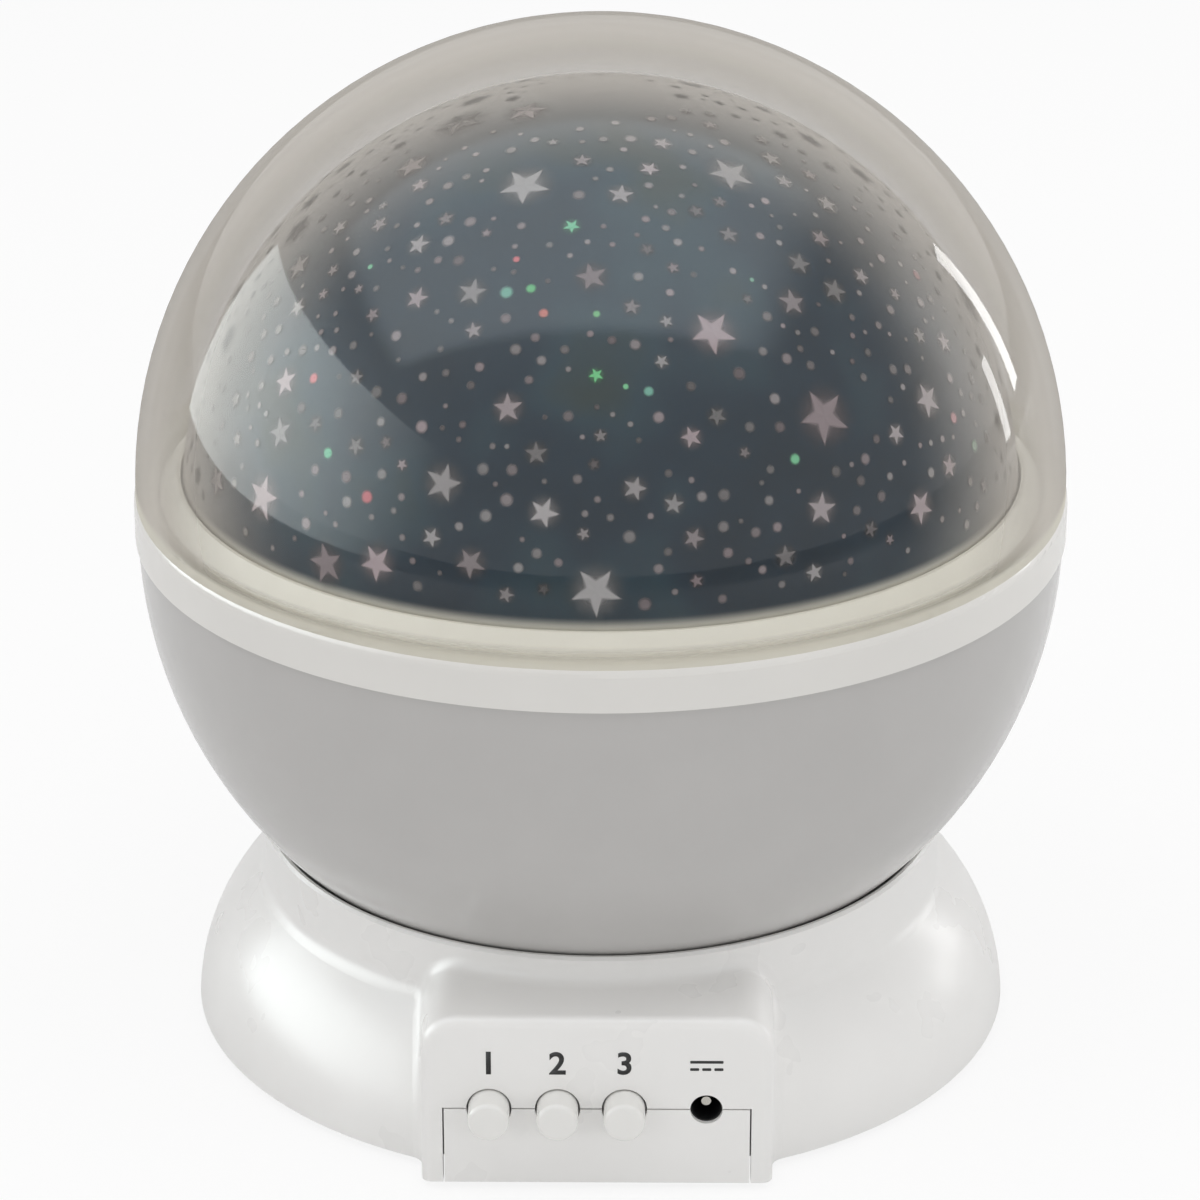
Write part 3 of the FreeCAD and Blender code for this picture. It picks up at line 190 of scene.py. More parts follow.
def metal(name, shade, roughness, grain_mm):
    """Metal with a fine uneven surface from plating or drawing."""
    material, tree = new_material(name)
    place = add(tree, "ShaderNodeTexCoord").outputs["Object"]
    grain = add(tree, "ShaderNodeTexNoise", Vector=place, Scale=1 / (grain_mm * MM), Detail=4.0)
    tone = add(tree, "ShaderNodeValToRGB", {"stops": [(0.3, scaled(shade, 0.9)), (0.7, shade)]}, Fac=grain)
    gloss = add(tree, "ShaderNodeValToRGB",
                {"stops": [(0.3, grey(roughness * 0.8)), (0.7, grey(roughness * 1.3))]}, Fac=grain)
    relief = add(tree, "ShaderNodeBump", Height=grain, Distance=PLATING_DEPTH, Strength=1.0)
    skin = add(tree, "ShaderNodeBsdfPrincipled", Base_Color=tone, Roughness=gloss, Metallic=1.0,
               Normal=relief)
    add(tree, "ShaderNodeOutputMaterial", Surface=skin)
    return material


def clear_cover(haze, cream):
    """Polished clear styrene: glossy and clear in front, milky beige towards its edge, with the collar's
    cream painted on at its foot.

    Light on its way to what is inside passes freely. The milk and the gloss belong to the outer face.
    """
    material, tree = new_material("polished_clear_styrene")
    place = add(tree, "ShaderNodeTexCoord").outputs["Object"]
    height = add(tree, "ShaderNodeSeparateXYZ", Vector=place).outputs["Z"]
    edge = add(tree, "ShaderNodeLayerWeight", Blend=0.5).outputs["Facing"]
    inner_face = add(tree, "ShaderNodeNewGeometry").outputs["Backfacing"]
    path = add(tree, "ShaderNodeLightPath")
    light = add(tree, "ShaderNodeMath", {"operation": "MAXIMUM"}, i0=path.outputs["Is Shadow Ray"],
                i1=path.outputs["Is Diffuse Ray"])
    seen = add(tree, "ShaderNodeMath", {"operation": "SUBTRACT"}, i0=1.0, i1=light)
    hidden = add(tree, "ShaderNodeMath", {"operation": "MAXIMUM"}, i0=inner_face, i1=light)
    outer_seen = add(tree, "ShaderNodeMath", {"operation": "SUBTRACT"}, i0=1.0, i1=hidden)

    # The milk's colour darkens towards the very rim: painted shade along the cover's outline.
    cloud = add(tree, "ShaderNodeValToRGB", {"stops": [(0.45, scaled(haze, 0.8)), (0.72, haze),
                                                       (0.94, scaled(haze, 0.85)),
                                                       (1.0, scaled(haze, 0.6))]}, Fac=edge)
    # Painted light: the cover's lowest few millimetres take the collar's cream, standing in for the lit
    # collar seen through it and covering the shade in the gap behind.
    foot = top("dome_ring")[2]
    painted_collar_band = add(tree, "ShaderNodeMapRange", {"interpolation_type": "SMOOTHSTEP"}, Value=height,
               From_Min=foot + 2.6 * MM, From_Max=foot + 1.0 * MM)
    cloud = add(tree, "ShaderNodeMix", {"data_type": "RGBA"}, i0=painted_collar_band, i6=cloud, i7=cream).outputs[2]
    matt = add(tree, "ShaderNodeBsdfDiffuse", Color=cloud)
    through = add(tree, "ShaderNodeBsdfTranslucent", Color=cloud)
    milk = add(tree, "ShaderNodeMixShader", Fac=0.35, i1=matt, i2=through)

    haziness = add(tree, "ShaderNodeValToRGB", {"stops": [(0.0, grey(0.02)), (0.26, grey(0.035)),
                                                          (0.4, grey(0.14)), (0.53, grey(0.46)),
                                                          (0.66, grey(0.82)), (0.8, grey(0.96))]}, Fac=edge)
    haziness = add(tree, "ShaderNodeMath", {"operation": "MULTIPLY"}, i0=haziness, i1=outer_seen)
    at_foot = add(tree, "ShaderNodeMath", {"operation": "MULTIPLY"}, i0=painted_collar_band, i1=0.85)
    at_foot = add(tree, "ShaderNodeMath", {"operation": "MULTIPLY"}, i0=at_foot, i1=seen)
    amount = add(tree, "ShaderNodeMath", {"operation": "MAXIMUM"}, i0=haziness, i1=at_foot)
    clear = add(tree, "ShaderNodeBsdfTransparent", Color=linear("#FCFCFC"))
    body = add(tree, "ShaderNodeMixShader", Fac=amount, i1=clear, i2=milk)

    sheen = add(tree, "ShaderNodeMath", {"operation": "POWER"}, i0=edge, i1=5.0)
    sheen = add(tree, "ShaderNodeMath", {"operation": "MULTIPLY_ADD"}, i0=sheen, i1=0.6, i2=0.028)
    sheen = add(tree, "ShaderNodeMath", {"operation": "MINIMUM"}, i0=sheen, i1=0.14)
    sheen = add(tree, "ShaderNodeMath", {"operation": "MULTIPLY"}, i0=sheen, i1=outer_seen)
    shine = add(tree, "ShaderNodeBsdfGlossy", Color=grey(1.0), Roughness=0.03)
    coat = add(tree, "ShaderNodeMixShader", Fac=sheen, i1=body, i2=shine)
    add(tree, "ShaderNodeOutputMaterial", Surface=coat)
    return material


def star_film(film, cream):
    """Dark print on a clear dome: deep blue-grey with soft greenish and brownish clouds.

    Towards its edge it takes a painted pale sheen, and it fades into its cream foot behind the collar.
    """
    material, tree = new_material("printed_star_film")
    place = add(tree, "ShaderNodeTexCoord").outputs["Object"]
    cloud = add(tree, "ShaderNodeTexNoise", Vector=place, Scale=1 / (26 * MM), Detail=2.5, Roughness=0.55)
    tone = add(tree, "ShaderNodeValToRGB", {"stops": [(0.3, scaled(film, 0.7)), (0.47, film),
                                                      (0.57, linear("#20353F")), (0.67, linear("#273331")),
                                                      (0.78, linear("#322F2F"))]}, Fac=cloud)
    height = add(tree, "ShaderNodeSeparateXYZ", Vector=place).outputs["Z"]
    foot = top("star_collar")[2]
    fade = add(tree, "ShaderNodeMapRange", {"interpolation_type": "SMOOTHSTEP"}, Value=height,
               From_Min=foot - 0.6 * MM, From_Max=foot + 1.6 * MM)
    tone = add(tree, "ShaderNodeMix", {"data_type": "RGBA"}, i0=fade, i6=cream, i7=tone).outputs[2]
    # Painted sheen: the film is mixed towards a pale warm grey as its surface turns away from the view.
    edge = add(tree, "ShaderNodeLayerWeight", Blend=0.5).outputs["Facing"]
    rim = add(tree, "ShaderNodeMapRange", {"interpolation_type": "SMOOTHSTEP"}, Value=edge, From_Min=0.32,
              From_Max=0.9)
    tone = add(tree, "ShaderNodeMix", {"data_type": "RGBA"}, i0=rim, i6=tone,
               i7=linear("#A8A29A")).outputs[2]
    skin = add(tree, "ShaderNodeBsdfPrincipled", Base_Color=tone, Roughness=0.35, IOR=1.25)
    add(tree, "ShaderNodeOutputMaterial", Surface=skin)
    return material


def star_window(window):
    """Bare clear patches in the film: pale light from the white inside, soft at the rim of the print.

    Like the film they take a painted pale sheen towards the dome's edge, fade out there and cast no shadow
    on it.
    """
    material, tree = new_material("clear_star_window")
    tint = add(tree, "ShaderNodeAttribute", {"attribute_name": "tint"}).outputs["Color"]
    body = add(tree, "ShaderNodeAttribute", {"attribute_name": "body"}).outputs["Fac"]
    edge = add(tree, "ShaderNodeLayerWeight", Blend=0.5).outputs["Facing"]
    pale = add(tree, "ShaderNodeMix", {"data_type": "RGBA", "blend_type": "MULTIPLY"}, i0=1.0, i6=window,
               i7=tint).outputs[2]
    # Painted sheen: the windows too are mixed towards a pale warm grey as their surface turns away from the
    # view.
    rim = add(tree, "ShaderNodeMapRange", {"interpolation_type": "SMOOTHSTEP"}, Value=edge, From_Min=0.25,
              From_Max=0.85)
    pale = add(tree, "ShaderNodeMix", {"data_type": "RGBA"}, i0=rim, i6=pale,
               i7=linear("#B4AEA6")).outputs[2]
    glow = add(tree, "ShaderNodeBsdfPrincipled", Base_Color=pale, Roughness=0.35, IOR=1.25)
    clear = add(tree, "ShaderNodeBsdfTransparent", Color=grey(1.0))
    soft = add(tree, "ShaderNodeMapRange", {"interpolation_type": "SMOOTHSTEP"}, Value=body)
    front = add(tree, "ShaderNodeMapRange", {"interpolation_type": "SMOOTHSTEP"}, Value=edge, From_Min=0.76,
                From_Max=0.5)
    soft = add(tree, "ShaderNodeMath", {"operation": "MULTIPLY"}, i0=soft, i1=front)
    shadow = add(tree, "ShaderNodeLightPath").outputs["Is Shadow Ray"]
    seen = add(tree, "ShaderNodeMath", {"operation": "SUBTRACT"}, i0=1.0, i1=shadow)
    soft = add(tree, "ShaderNodeMath", {"operation": "MULTIPLY"}, i0=soft, i1=seen)
    skin = add(tree, "ShaderNodeMixShader", Fac=soft, i1=clear, i2=glow)
    add(tree, "ShaderNodeOutputMaterial", Surface=skin)
    return material


def cell_skin(name, cell, nub_ahead):
    """Dry cell: dark printed film round the can, a copper band at the nub's end and bare plated ends."""
    material, tree = new_material(name)
    low, high = bottom(cell)[1], top(cell)[1]
    bare_end, band, step = 1.3 * MM, 11.0 * MM, 0.1 * MM
    place = add(tree, "ShaderNodeTexCoord").outputs["Object"]
    along = add(tree, "ShaderNodeSeparateXYZ", Vector=place).outputs["Y"]
    past_low = add(tree, "ShaderNodeMapRange", {"interpolation_type": "SMOOTHSTEP"}, Value=along,
                   From_Min=low + bare_end, From_Max=low + bare_end + step)
    past_high = add(tree, "ShaderNodeMapRange", {"interpolation_type": "SMOOTHSTEP"}, Value=along,
                    From_Min=high - bare_end, From_Max=high - bare_end - step)
    film = add(tree, "ShaderNodeMath", {"operation": "MULTIPLY"}, i0=past_low, i1=past_high)
    start, full = (low + band + step, low + band) if nub_ahead else (high - band - step, high - band)
    copper = add(tree, "ShaderNodeMapRange", {"interpolation_type": "SMOOTHSTEP"}, Value=along,
                 From_Min=start, From_Max=full)
    wrap = add(tree, "ShaderNodeMix", {"data_type": "RGBA"}, i0=copper, i6=linear("#2B3F52"),
               i7=linear("#B5713F")).outputs[2]
    tone = add(tree, "ShaderNodeMix", {"data_type": "RGBA"}, i0=film, i6=linear("#C6C6C3"),
               i7=wrap).outputs[2]
    grain = add(tree, "ShaderNodeTexNoise", Vector=place, Scale=1 / (1.5 * MM), Detail=2.0)
    relief = add(tree, "ShaderNodeBump", Height=grain, Distance=0.003 * MM, Strength=1.0)
    bare_metal = add(tree, "ShaderNodeMath", {"operation": "SUBTRACT"}, i0=1.0, i1=film)
    skin = add(tree, "ShaderNodeBsdfPrincipled", Base_Color=tone, Roughness=0.3, Metallic=bare_metal,
               Normal=relief)
    add(tree, "ShaderNodeOutputMaterial", Surface=skin)
    return material


def led_resin(name, shade):
    """Cast epoxy: clear tinted resin, very smooth, through which its own colour glows."""
    material, tree = new_material(name)
    place = add(tree, "ShaderNodeTexCoord").outputs["Object"]
    swirl = add(tree, "ShaderNodeTexNoise", Vector=place, Scale=1 / (2 * MM), Detail=1.0)
    tone = add(tree, "ShaderNodeValToRGB", {"stops": [(0.3, scaled(shade, 0.92)), (0.7, shade)]}, Fac=swirl)
    skin = add(tree, "ShaderNodeBsdfPrincipled", Base_Color=tone, Roughness=0.08, IOR=1.5,
               Transmission_Weight=0.5)
    add(tree, "ShaderNodeOutputMaterial", Surface=skin)
    return material


def paint(material, *names):
    for name in names:
        mesh = nodes[name].data
        mesh.materials.clear()
        mesh.materials.append(material)


# Modelling

def bare():
    """Leave no object selected and none in edit mode."""
    if bpy.context.object and bpy.context.object.mode != "OBJECT":
        bpy.ops.object.mode_set(mode="OBJECT")
    bpy.ops.object.select_all(action="DESELECT")


def settle(piece):
    """Put the piece's place into its mesh."""
    bare()
    piece.select_set(True)
    bpy.context.view_layer.objects.active = piece
    bpy.ops.object.transform_apply(location=True, rotation=True, scale=True)


def twin(pattern):
    """A copy of a piece with its own mesh."""
    copy = pattern.copy()
    copy.data = pattern.data.copy()
    bpy.context.collection.objects.link(copy)
    return copy


def joined(pieces):
    """All the pieces made one."""
    bare()
    for piece in pieces:
        piece.select_set(True)
    bpy.context.view_layer.objects.active = pieces[0]
    bpy.ops.object.join()
    return bpy.context.object


def give(piece, material, body="base"):
    """Finish a new piece and let it ride on its body."""
    piece.data.materials.clear()
    piece.data.materials.append(material)
    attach(piece, body)


def sizes():
    return bpy.context.scene.projector_sizes


def colours():
    return bpy.context.scene.projector_colours


# Star windows

def star_pattern():
    """One flat five-pointed star of radius 1 with a soft rim, lying in XY."""
    bare()
    bpy.ops.mesh.primitive_circle_add(vertices=10, radius=1.0, fill_type="NGON")
    star = bpy.context.object
    bpy.ops.object.mode_set(mode="EDIT")
    bpy.ops.mesh.select_all(action="DESELECT")
    shape = bmesh.from_edit_mesh(star.data)
    shape.verts.ensure_lookup_table()
    for number, corner in enumerate(shape.verts):
        corner.select = number % 2 == 1
    shape.select_flush_mode()
    bmesh.update_edit_mesh(star.data)
    notch = 0.48
    bpy.ops.transform.resize(value=(notch, notch, 1.0))
    return soft_rim(star, 0.2)


def dot_pattern(rim):
    """One flat round dot of radius 1 with a soft rim of the given width, lying in XY."""
    bare()
    bpy.ops.mesh.primitive_circle_add(vertices=10, radius=1.0, fill_type="NGON")
    bpy.ops.object.mode_set(mode="EDIT")
    return soft_rim(bpy.context.object, rim)


def soft_rim(piece, width):
    """Inset the outline and mark its outer corners, so that the window fades out there."""
    bpy.ops.mesh.select_all(action="SELECT")
    bpy.ops.mesh.inset(thickness=width, depth=0.0, use_even_offset=False)
    bpy.ops.mesh.poke()
    bpy.ops.object.mode_set(mode="OBJECT")
    body = piece.data.attributes.new("body", "FLOAT", "POINT")
    edge_corners = {corner for edge in open_edges(piece.data) for corner in edge}
    for number in range(len(piece.data.vertices)):
        body.data[number].value = 0.0 if number in edge_corners else 1.0
    return piece


def open_edges(mesh):
    """The edges that only one face has."""
    faces_at = {}
    for face in mesh.polygons:
        for key in face.edge_keys:
            faces_at[key] = faces_at.get(key, 0) + 1
    return [key for key, faces in faces_at.items() if faces == 1]


def window_places(chance, plan, radius, lowest):
    """Directions and sizes of windows that keep clear of each other, large ones first."""
    highest, tries, spread = 0.985, 60, 1.25
    gap = sizes().window_gap
    placed = []
    for pattern, wanted, small, large in plan:
        for _ in range(wanted):
            for _ in range(tries):
                height = chance.uniform(lowest, highest)
                turn = chance.uniform(0.0, math.tau)
                flat = math.sqrt(1 - height * height)
                way = Vector((flat * math.cos(turn), flat * math.sin(turn), height))
                size = chance.uniform(small, large)
                if all((way - other).length * radius > spread * (size + used) + gap
                       for _, other, used in placed):
                    placed.append((pattern, way, size))
                    break
    return placed


def window_tint(chance, reach):
    """Pale grey, the larger the brighter, some pinkish; a few green or red ones among the smaller."""
    green, red = (0.3, 0.95, 0.55), (1.0, 0.3, 0.35)
    pick = chance.random()
    if reach < 2.4 * MM and pick > 0.97:
        return tuple(part * chance.uniform(0.45, 0.8) for part in green)
    if reach < 1.2 * MM and pick > 0.955:
        return tuple(part * chance.uniform(0.5, 0.8) for part in red)
    share = min(1.0, reach / sizes().large_star)
    level = chance.uniform(0.06 + 0.26 * share, 0.22 + 0.7 * share)
    warm = chance.uniform(0.0, 0.14)
    return (level * (1.0 + warm * 0.3), level * (1.0 - warm), level * (1.0 - warm * 0.7))


def lay_on_dome(pattern, way, size, twist, radius, centre, shade):
    """Copy a flat pattern onto the dome, every corner at the same height over its skin, in one colour."""
    copy = twin(pattern)
    turn = way.to_track_quat("Z", "Y") @ Quaternion((0, 0, 1), twist)
    tint = copy.data.attributes.new("tint", "FLOAT_COLOR", "POINT")
    for number, corner in enumerate(copy.data.vertices):
        spot = way * radius + turn @ (corner.co * size)
        corner.co = centre + spot.normalized() * radius
        tint.data[number].color = (*shade, 1.0)
    return copy


class PROJECTOR_OT_star_windows(bpy.types.Operator):
    """Clear star and dot windows in the print of the star dome"""
    bl_idname = "projector.star_windows"
    bl_label = "Star Windows"

    def execute(self, context):
        size = sizes()
        chance = random.Random(20)
        radius = size.dome_radius + size.window_lift
        halo_radius = size.dome_radius + size.halo_lift
        centre = Vector((0.0, 0.0, top("star_dome")[2] - size.dome_radius))
        patterns = {"star": star_pattern(), "dot": dot_pattern(0.6), "halo": dot_pattern(0.95)}
        plan = [("star", size.large_stars, size.large_star * 0.6, size.large_star),
                ("star", size.small_stars // 3, size.small_star, size.small_star * 1.6),
                ("star", size.small_stars, size.small_star * 0.5, size.small_star),
                ("dot", size.dots, size.dot * 0.4, size.dot)]
        lowest = (top("star_collar")[2] + 3.0 * MM - centre.z) / radius
        windows = []
        for pattern, way, reach in window_places(chance, plan, radius, lowest):
            twist = chance.uniform(0.0, math.tau)
            shade = window_tint(chance, reach)
            windows.append(lay_on_dome(patterns[pattern], way, reach, twist, radius, centre, shade))
            # Each star gets a halo of painted glow: a dim copy of its tint that fades out to its rim.
            if pattern == "star":
                windows.append(lay_on_dome(patterns["halo"], way, reach * 1.25, 0.0, halo_radius, centre,
                                           scaled(shade, 0.4)))
        for pattern in patterns.values():
            bpy.data.objects.remove(pattern)
        piece = joined(windows)
        piece.name = "star_windows"
        give(piece, star_window(colours().window), "ball")
        return {"FINISHED"}


# Ball

class PROJECTOR_OT_ball(bpy.types.Operator):
    """Clear cover, star dome, collar, ring and lower bowl"""
    bl_idname = "projector.ball"
    bl_label = "Ball"

    def execute(self, context):
        shades = colours()
        paint(clear_cover(shades.haze, shades.cream), "outer_dome")
        paint(star_film(shades.film, shades.cream), "star_dome")
        # Satin ABS: an even cream with a broad soft highlight.
        paint(moulded("satin_cream_abs", shades.cream, 0.45, 1.2), "star_collar")
        # Gloss ABS from a polished mould: sharp reflections with a very slight orange peel.
        paint(moulded("gloss_grey_abs", shades.grey, 0.16, 5.0, 0.006, 0.015), "lower_bowl")
        # The ring's mould is as fine, its white a little warmer and its gloss a touch softer.
        paint(moulded("gloss_ring_abs", shades.ring, 0.2, 4.0, 0.006, 0.012), "dome_ring")
        return {"FINISHED"}


# Base

class PROJECTOR_OT_base(bpy.types.Operator):
    """Flared base, bottom plate, battery cover and feet"""
    bl_idname = "projector.base"
    bl_label = "Base"

    def execute(self, context):
        # White ABS, less polished than the ball: broad soft reflections with a very slight orange peel.
        paint(moulded("gloss_white_abs", colours().white, 0.3, 4.0, 0.006, 0.012),
              "base_housing", "base_plate", "battery_cover")
        # Moulded rubber: near black, dull, with a fine bloom.
        paint(moulded("moulded_rubber", linear("#2A2A2A"), 0.75, 0.5, 0.01, 0.1),
              "foot_front_right", "foot_front_left", "foot_rear_right", "foot_rear_left")
        return {"FINISHED"}


# Panel

def printed_mark(name, text, across, height):
    """One bold printed character on the panel's face."""
    size = sizes()
    bare()
    bpy.ops.object.text_add()
    letter = bpy.context.object.data
    letter.body = text
    letter.resolution_u = 8
    bolder = 0.022                  # share of the type's height that the strokes grow by on each side
    letter.offset = bolder
    bpy.ops.object.convert(target="MESH")
    mark = bpy.context.object
    mark.name = name
    corners = [corner.co.copy() for corner in mark.data.vertices]
    low = Vector([min(corner[axis] for corner in corners) for axis in range(3)])
    high = Vector([max(corner[axis] for corner in corners) for axis in range(3)])
    scale = size.mark_height / (high.y - low.y)
    face = bottom("base_housing")[1] - size.mark_print
    for corner in mark.data.vertices:
        spot = (corner.co - (low + high) / 2) * scale
        corner.co = Vector((across + spot.x, face, height + spot.y))
    thicken(mark)
    return mark


def printed_bar(name, across, height, wide):
    """One printed bar on the panel's face, with rounded ends."""
    size = sizes()
    bare()
    face = bottom("base_housing")[1] - size.mark_print
    bpy.ops.mesh.primitive_plane_add(size=1.0, location=(across, face, height),
                                     rotation=(math.radians(90), 0, 0))
    bar = bpy.context.object
    bar.name = name
    bar.scale = (wide, size.mark_line, 1.0)
    settle(bar)
    bpy.ops.object.mode_set(mode="EDIT")
    bpy.ops.mesh.select_all(action="SELECT")
    bpy.ops.mesh.bevel(offset=size.mark_line * 0.3, segments=3, affect="VERTICES")
    bpy.ops.object.mode_set(mode="OBJECT")
    thicken(bar)
    return bar


def thicken(mark):
    """Give a flat mark facing the front its thickness, backwards into the panel."""
    bpy.context.view_layer.objects.active = mark
    bpy.ops.object.mode_set(mode="EDIT")
    bpy.ops.mesh.select_all(action="SELECT")
    bpy.ops.mesh.remove_doubles(threshold=1e-6)
    bpy.ops.mesh.extrude_region_move(TRANSFORM_OT_translate={"value": (0, 2 * sizes().mark_print, 0)})
    bpy.ops.mesh.select_all(action="SELECT")
    bpy.ops.mesh.normals_make_consistent(inside=False)
    bpy.ops.object.mode_set(mode="OBJECT")


def jack_sign():
    """The sign for direct current over the jack: a bar over three dashes."""
    jack = middle("dc_jack_pin")
    height = jack.z + sizes().mark_rise - 0.3 * MM
    half_gap, bar, dash, dash_pitch = 0.55 * MM, 4.4 * MM, 1.2 * MM, 1.6 * MM
    marks = [printed_bar("mark_direct_bar", jack.x, height + half_gap, bar)]
    for number in range(3):
        marks.append(printed_bar("mark_direct_dash_%d" % (number + 1), jack.x + (number - 1) * dash_pitch,
                                 height - half_gap, dash))
    return marks


class PROJECTOR_OT_panel(bpy.types.Operator):
    """Push buttons, DC jack and the printed marks"""
    bl_idname = "projector.panel"
    bl_label = "Panel"

    def execute(self, context):
        # Pad printing ink: flat, dark, a little uneven.
        ink = moulded("printed_ink", colours().ink, 0.55, 0.4, 0.002, 0.15)
        marks = []
        for number, name in enumerate(("light_button", "colour_button", "spin_button"), start=1):
            spot = middle(name)
            marks.append(printed_mark("mark_%d" % number, str(number), spot.x, spot.z + sizes().mark_rise))
        for mark in marks + jack_sign():
            give(mark, ink)
        # ABS caps: a shade warmer than the housing and a touch glossier, where fingers polish them.
        paint(moulded("button_abs", linear("#EAE9E6"), 0.22, 3.0, 0.004, 0.01),
              "light_button", "colour_button", "spin_button")
        # Black nylon: dark and satin.
        paint(moulded("black_nylon", linear("#1B1B1C"), 0.42, 0.8, 0.004, 0.08),
              "dc_jack", "board_chip", "light_switch", "colour_switch", "spin_switch",
              "light_plunger", "colour_plunger", "spin_plunger")
        # Nickel plate: a warm bright metal, sharply reflecting.
        paint(metal("nickel_plated_pin", linear("#C9C6BE"), 0.2, 0.4), "dc_jack_pin")
        return {"FINISHED"}


# Small parts

def block(name, low, high, edge):
    """A block between two corners, its edges rounded off."""
    bare()
    low, high = Vector(low), Vector(high)
    bpy.ops.mesh.primitive_cube_add(size=1.0, location=(low + high) / 2)
    piece = bpy.context.object
    piece.name = name
    piece.scale = high - low
    settle(piece)
    bpy.ops.object.mode_set(mode="EDIT")
    bpy.ops.mesh.select_all(action="SELECT")
    bpy.ops.mesh.bevel(offset=edge, segments=2, affect="EDGES")
    bpy.ops.object.mode_set(mode="OBJECT")
    return piece


def row(pattern, number, step):
    """The pattern and its copies, each one step further, as one piece."""
    pieces = [pattern]
    for place in range(1, number):
        copy = twin(pattern)
        copy.data.transform(Matrix.Translation(Vector(step) * place))
        pieces.append(copy)
    return joined(pieces)


def grip_ribs():
    """Six low ribs under the battery cover, for the thumb."""
    size = sizes()
    half, face = size.rib_length / 2, bottom("battery_cover")[2]
    first, wide, sunk, proud = bottom("battery_cover")[1] + 12 * MM, 0.9 * MM, 0.3 * MM, 0.35 * MM
    rib = block("cover_grip_ribs", (-half, first, face - proud), (half, first + wide, face + sunk), 0.2 * MM)
    return row(rib, 6, (0.0, size.rib_pitch, 0.0))


def resistors():
    """Four chip resistors in a row behind the board: their cases, and their soldered ends."""
    size = sizes()
    back, height, first = top("main_board")[1], 13.4 * MM, -10.6 * MM
    half, wide, thick = size.resistor_length / 2, 0.55 * MM, 0.5 * MM
    end, sunk, wrap, edge = 0.4 * MM, 0.05 * MM, 0.03 * MM, 0.06 * MM
    case = block("board_resistors", (first - half + 0.3 * MM, back - sunk, height - wide),
                 (first + half - 0.3 * MM, back + thick, height + wide), edge)
    cap = block("resistor_ends", (first - half, back - sunk, height - wide - wrap),
                (first - half + end, back + thick + sunk, height + wide + wrap), edge)
    caps = row(cap, 2, (size.resistor_length - end, 0.0, 0.0))
    step = (size.resistor_pitch, 0.0, 0.0)
    return row(case, 4, step), row(caps, 4, step)


class PROJECTOR_OT_small_parts(bpy.types.Operator):
    """Grip ribs under the battery cover, and chip resistors on the board"""
    bl_idname = "projector.small_parts"
    bl_label = "Small Parts"

    def execute(self, context):
        give(grip_ribs(), bpy.data.materials["gloss_white_abs"])
        cases, ends = resistors()
        # Thick film resistor: fired black glaze.
        give(cases, moulded("fired_black_glaze", linear("#1D1D20"), 0.3, 0.4, 0.002, 0.1))
        # Tinned ends: bright grey, slightly dulled by the solder.
        give(ends, metal("tinned_ends", linear("#C4C4C2"), 0.3, 0.3))
        return {"FINISHED"}


# Insides

class PROJECTOR_OT_insides(bpy.types.Operator):
    """Lamp, drive, board, batteries, screws and leads"""
    bl_idname = "projector.insides"
    bl_label = "Insides"

    def execute(self, context):
        # Natural nylon: milky white and satin.
        paint(moulded("natural_nylon", linear("#E3E0D6"), 0.5, 1.0, 0.004, 0.02), "lamp_column", "lamp_cup")
        # Acetal: very white and waxy.
        paint(moulded("white_acetal", linear("#ECEBE7"), 0.38, 1.5, 0.003, 0.01), "hub_bush", "ring_gear",
              "motor_pinion")
        # Zinc plate: bright bluish grey with a fine sparkle.
        paint(metal("zinc_plated_steel", linear("#B9BCC0"), 0.32, 0.5), "base_screws", "battery_cover_screw",
              "gear_screws", "column_screws", "motor_screws", "board_screws", "motor_shaft")
        # Drawn steel: plain grey with the faint unevenness of the drawing.
        paint(metal("drawn_steel_can", linear("#B4B4B2"), 0.3, 0.9), "gear_motor")
        # Nickelled spring steel: warm and bright.
        paint(metal("nickel_spring_wire", linear("#CBC9C2"), 0.22, 0.4),
              "battery_springs", "battery_contacts")
        paint(cell_skin("film_wrapped_cell", "battery_cell_1", True), "battery_cell_1", "battery_cell_3")
        paint(cell_skin("film_wrapped_cell_turned", "battery_cell_2", False),
              "battery_cell_2", "battery_cell_4")
        # Solder mask: glossy lacquer that shows the weave of the board as a fine ripple.
        paint(moulded("green_solder_mask", linear("#1E5A34"), 0.3, 0.9, 0.01, 0.12), "main_board")
        paint(moulded("white_solder_mask", linear("#E6E6E1"), 0.35, 0.9, 0.006, 0.02), "lamp_board")
        # Shrunk sleeve: smooth dark blue film.
        paint(moulded("capacitor_sleeve", linear("#22284A"), 0.3, 1.0, 0.003, 0.05), "board_capacitor")
        # Soft vinyl on the leads: satin and even.
        paint(moulded("white_lead", linear("#E2E0DA"), 0.5, 1.0, 0.004, 0.03), "lamp_lead")
        paint(moulded("red_lead", linear("#9E2A2A"), 0.5, 1.0, 0.004, 0.06), "motor_leads", "battery_leads")
        paint(led_resin("clear_led_resin", linear("#F2EFD8")), "led_warm")
        paint(led_resin("red_led_resin", linear("#D8433F")), "led_red")
        paint(led_resin("green_led_resin", linear("#45C060")), "led_green")
        paint(led_resin("blue_led_resin", linear("#4060D8")), "led_blue")
        return {"FINISHED"}


# Stage

def softbox(name, place, wide, tall, level, lights=True, shines=True, tint=(1.0, 1.0, 1.0)):
    """A rectangular lamp aimed at the object, its face of the given brightness, white being 1."""
    light = bpy.data.lights.new(name, "AREA")
    light.shape = "RECTANGLE"
    light.size, light.size_y = wide, tall
    light.energy = level * 4 * wide * tall
    light.color = tint
    lamp = bpy.data.objects.new(name, light)
    lamp.location = place
    lamp.rotation_euler = (Vector((0.0, 0.0, 0.075)) - Vector(place)).to_track_quat("-Z", "Y").to_euler()
    lamp.visible_camera = False
    lamp.visible_diffuse = lights
    lamp.visible_glossy = shines
    bpy.context.collection.objects.link(lamp)
    return light


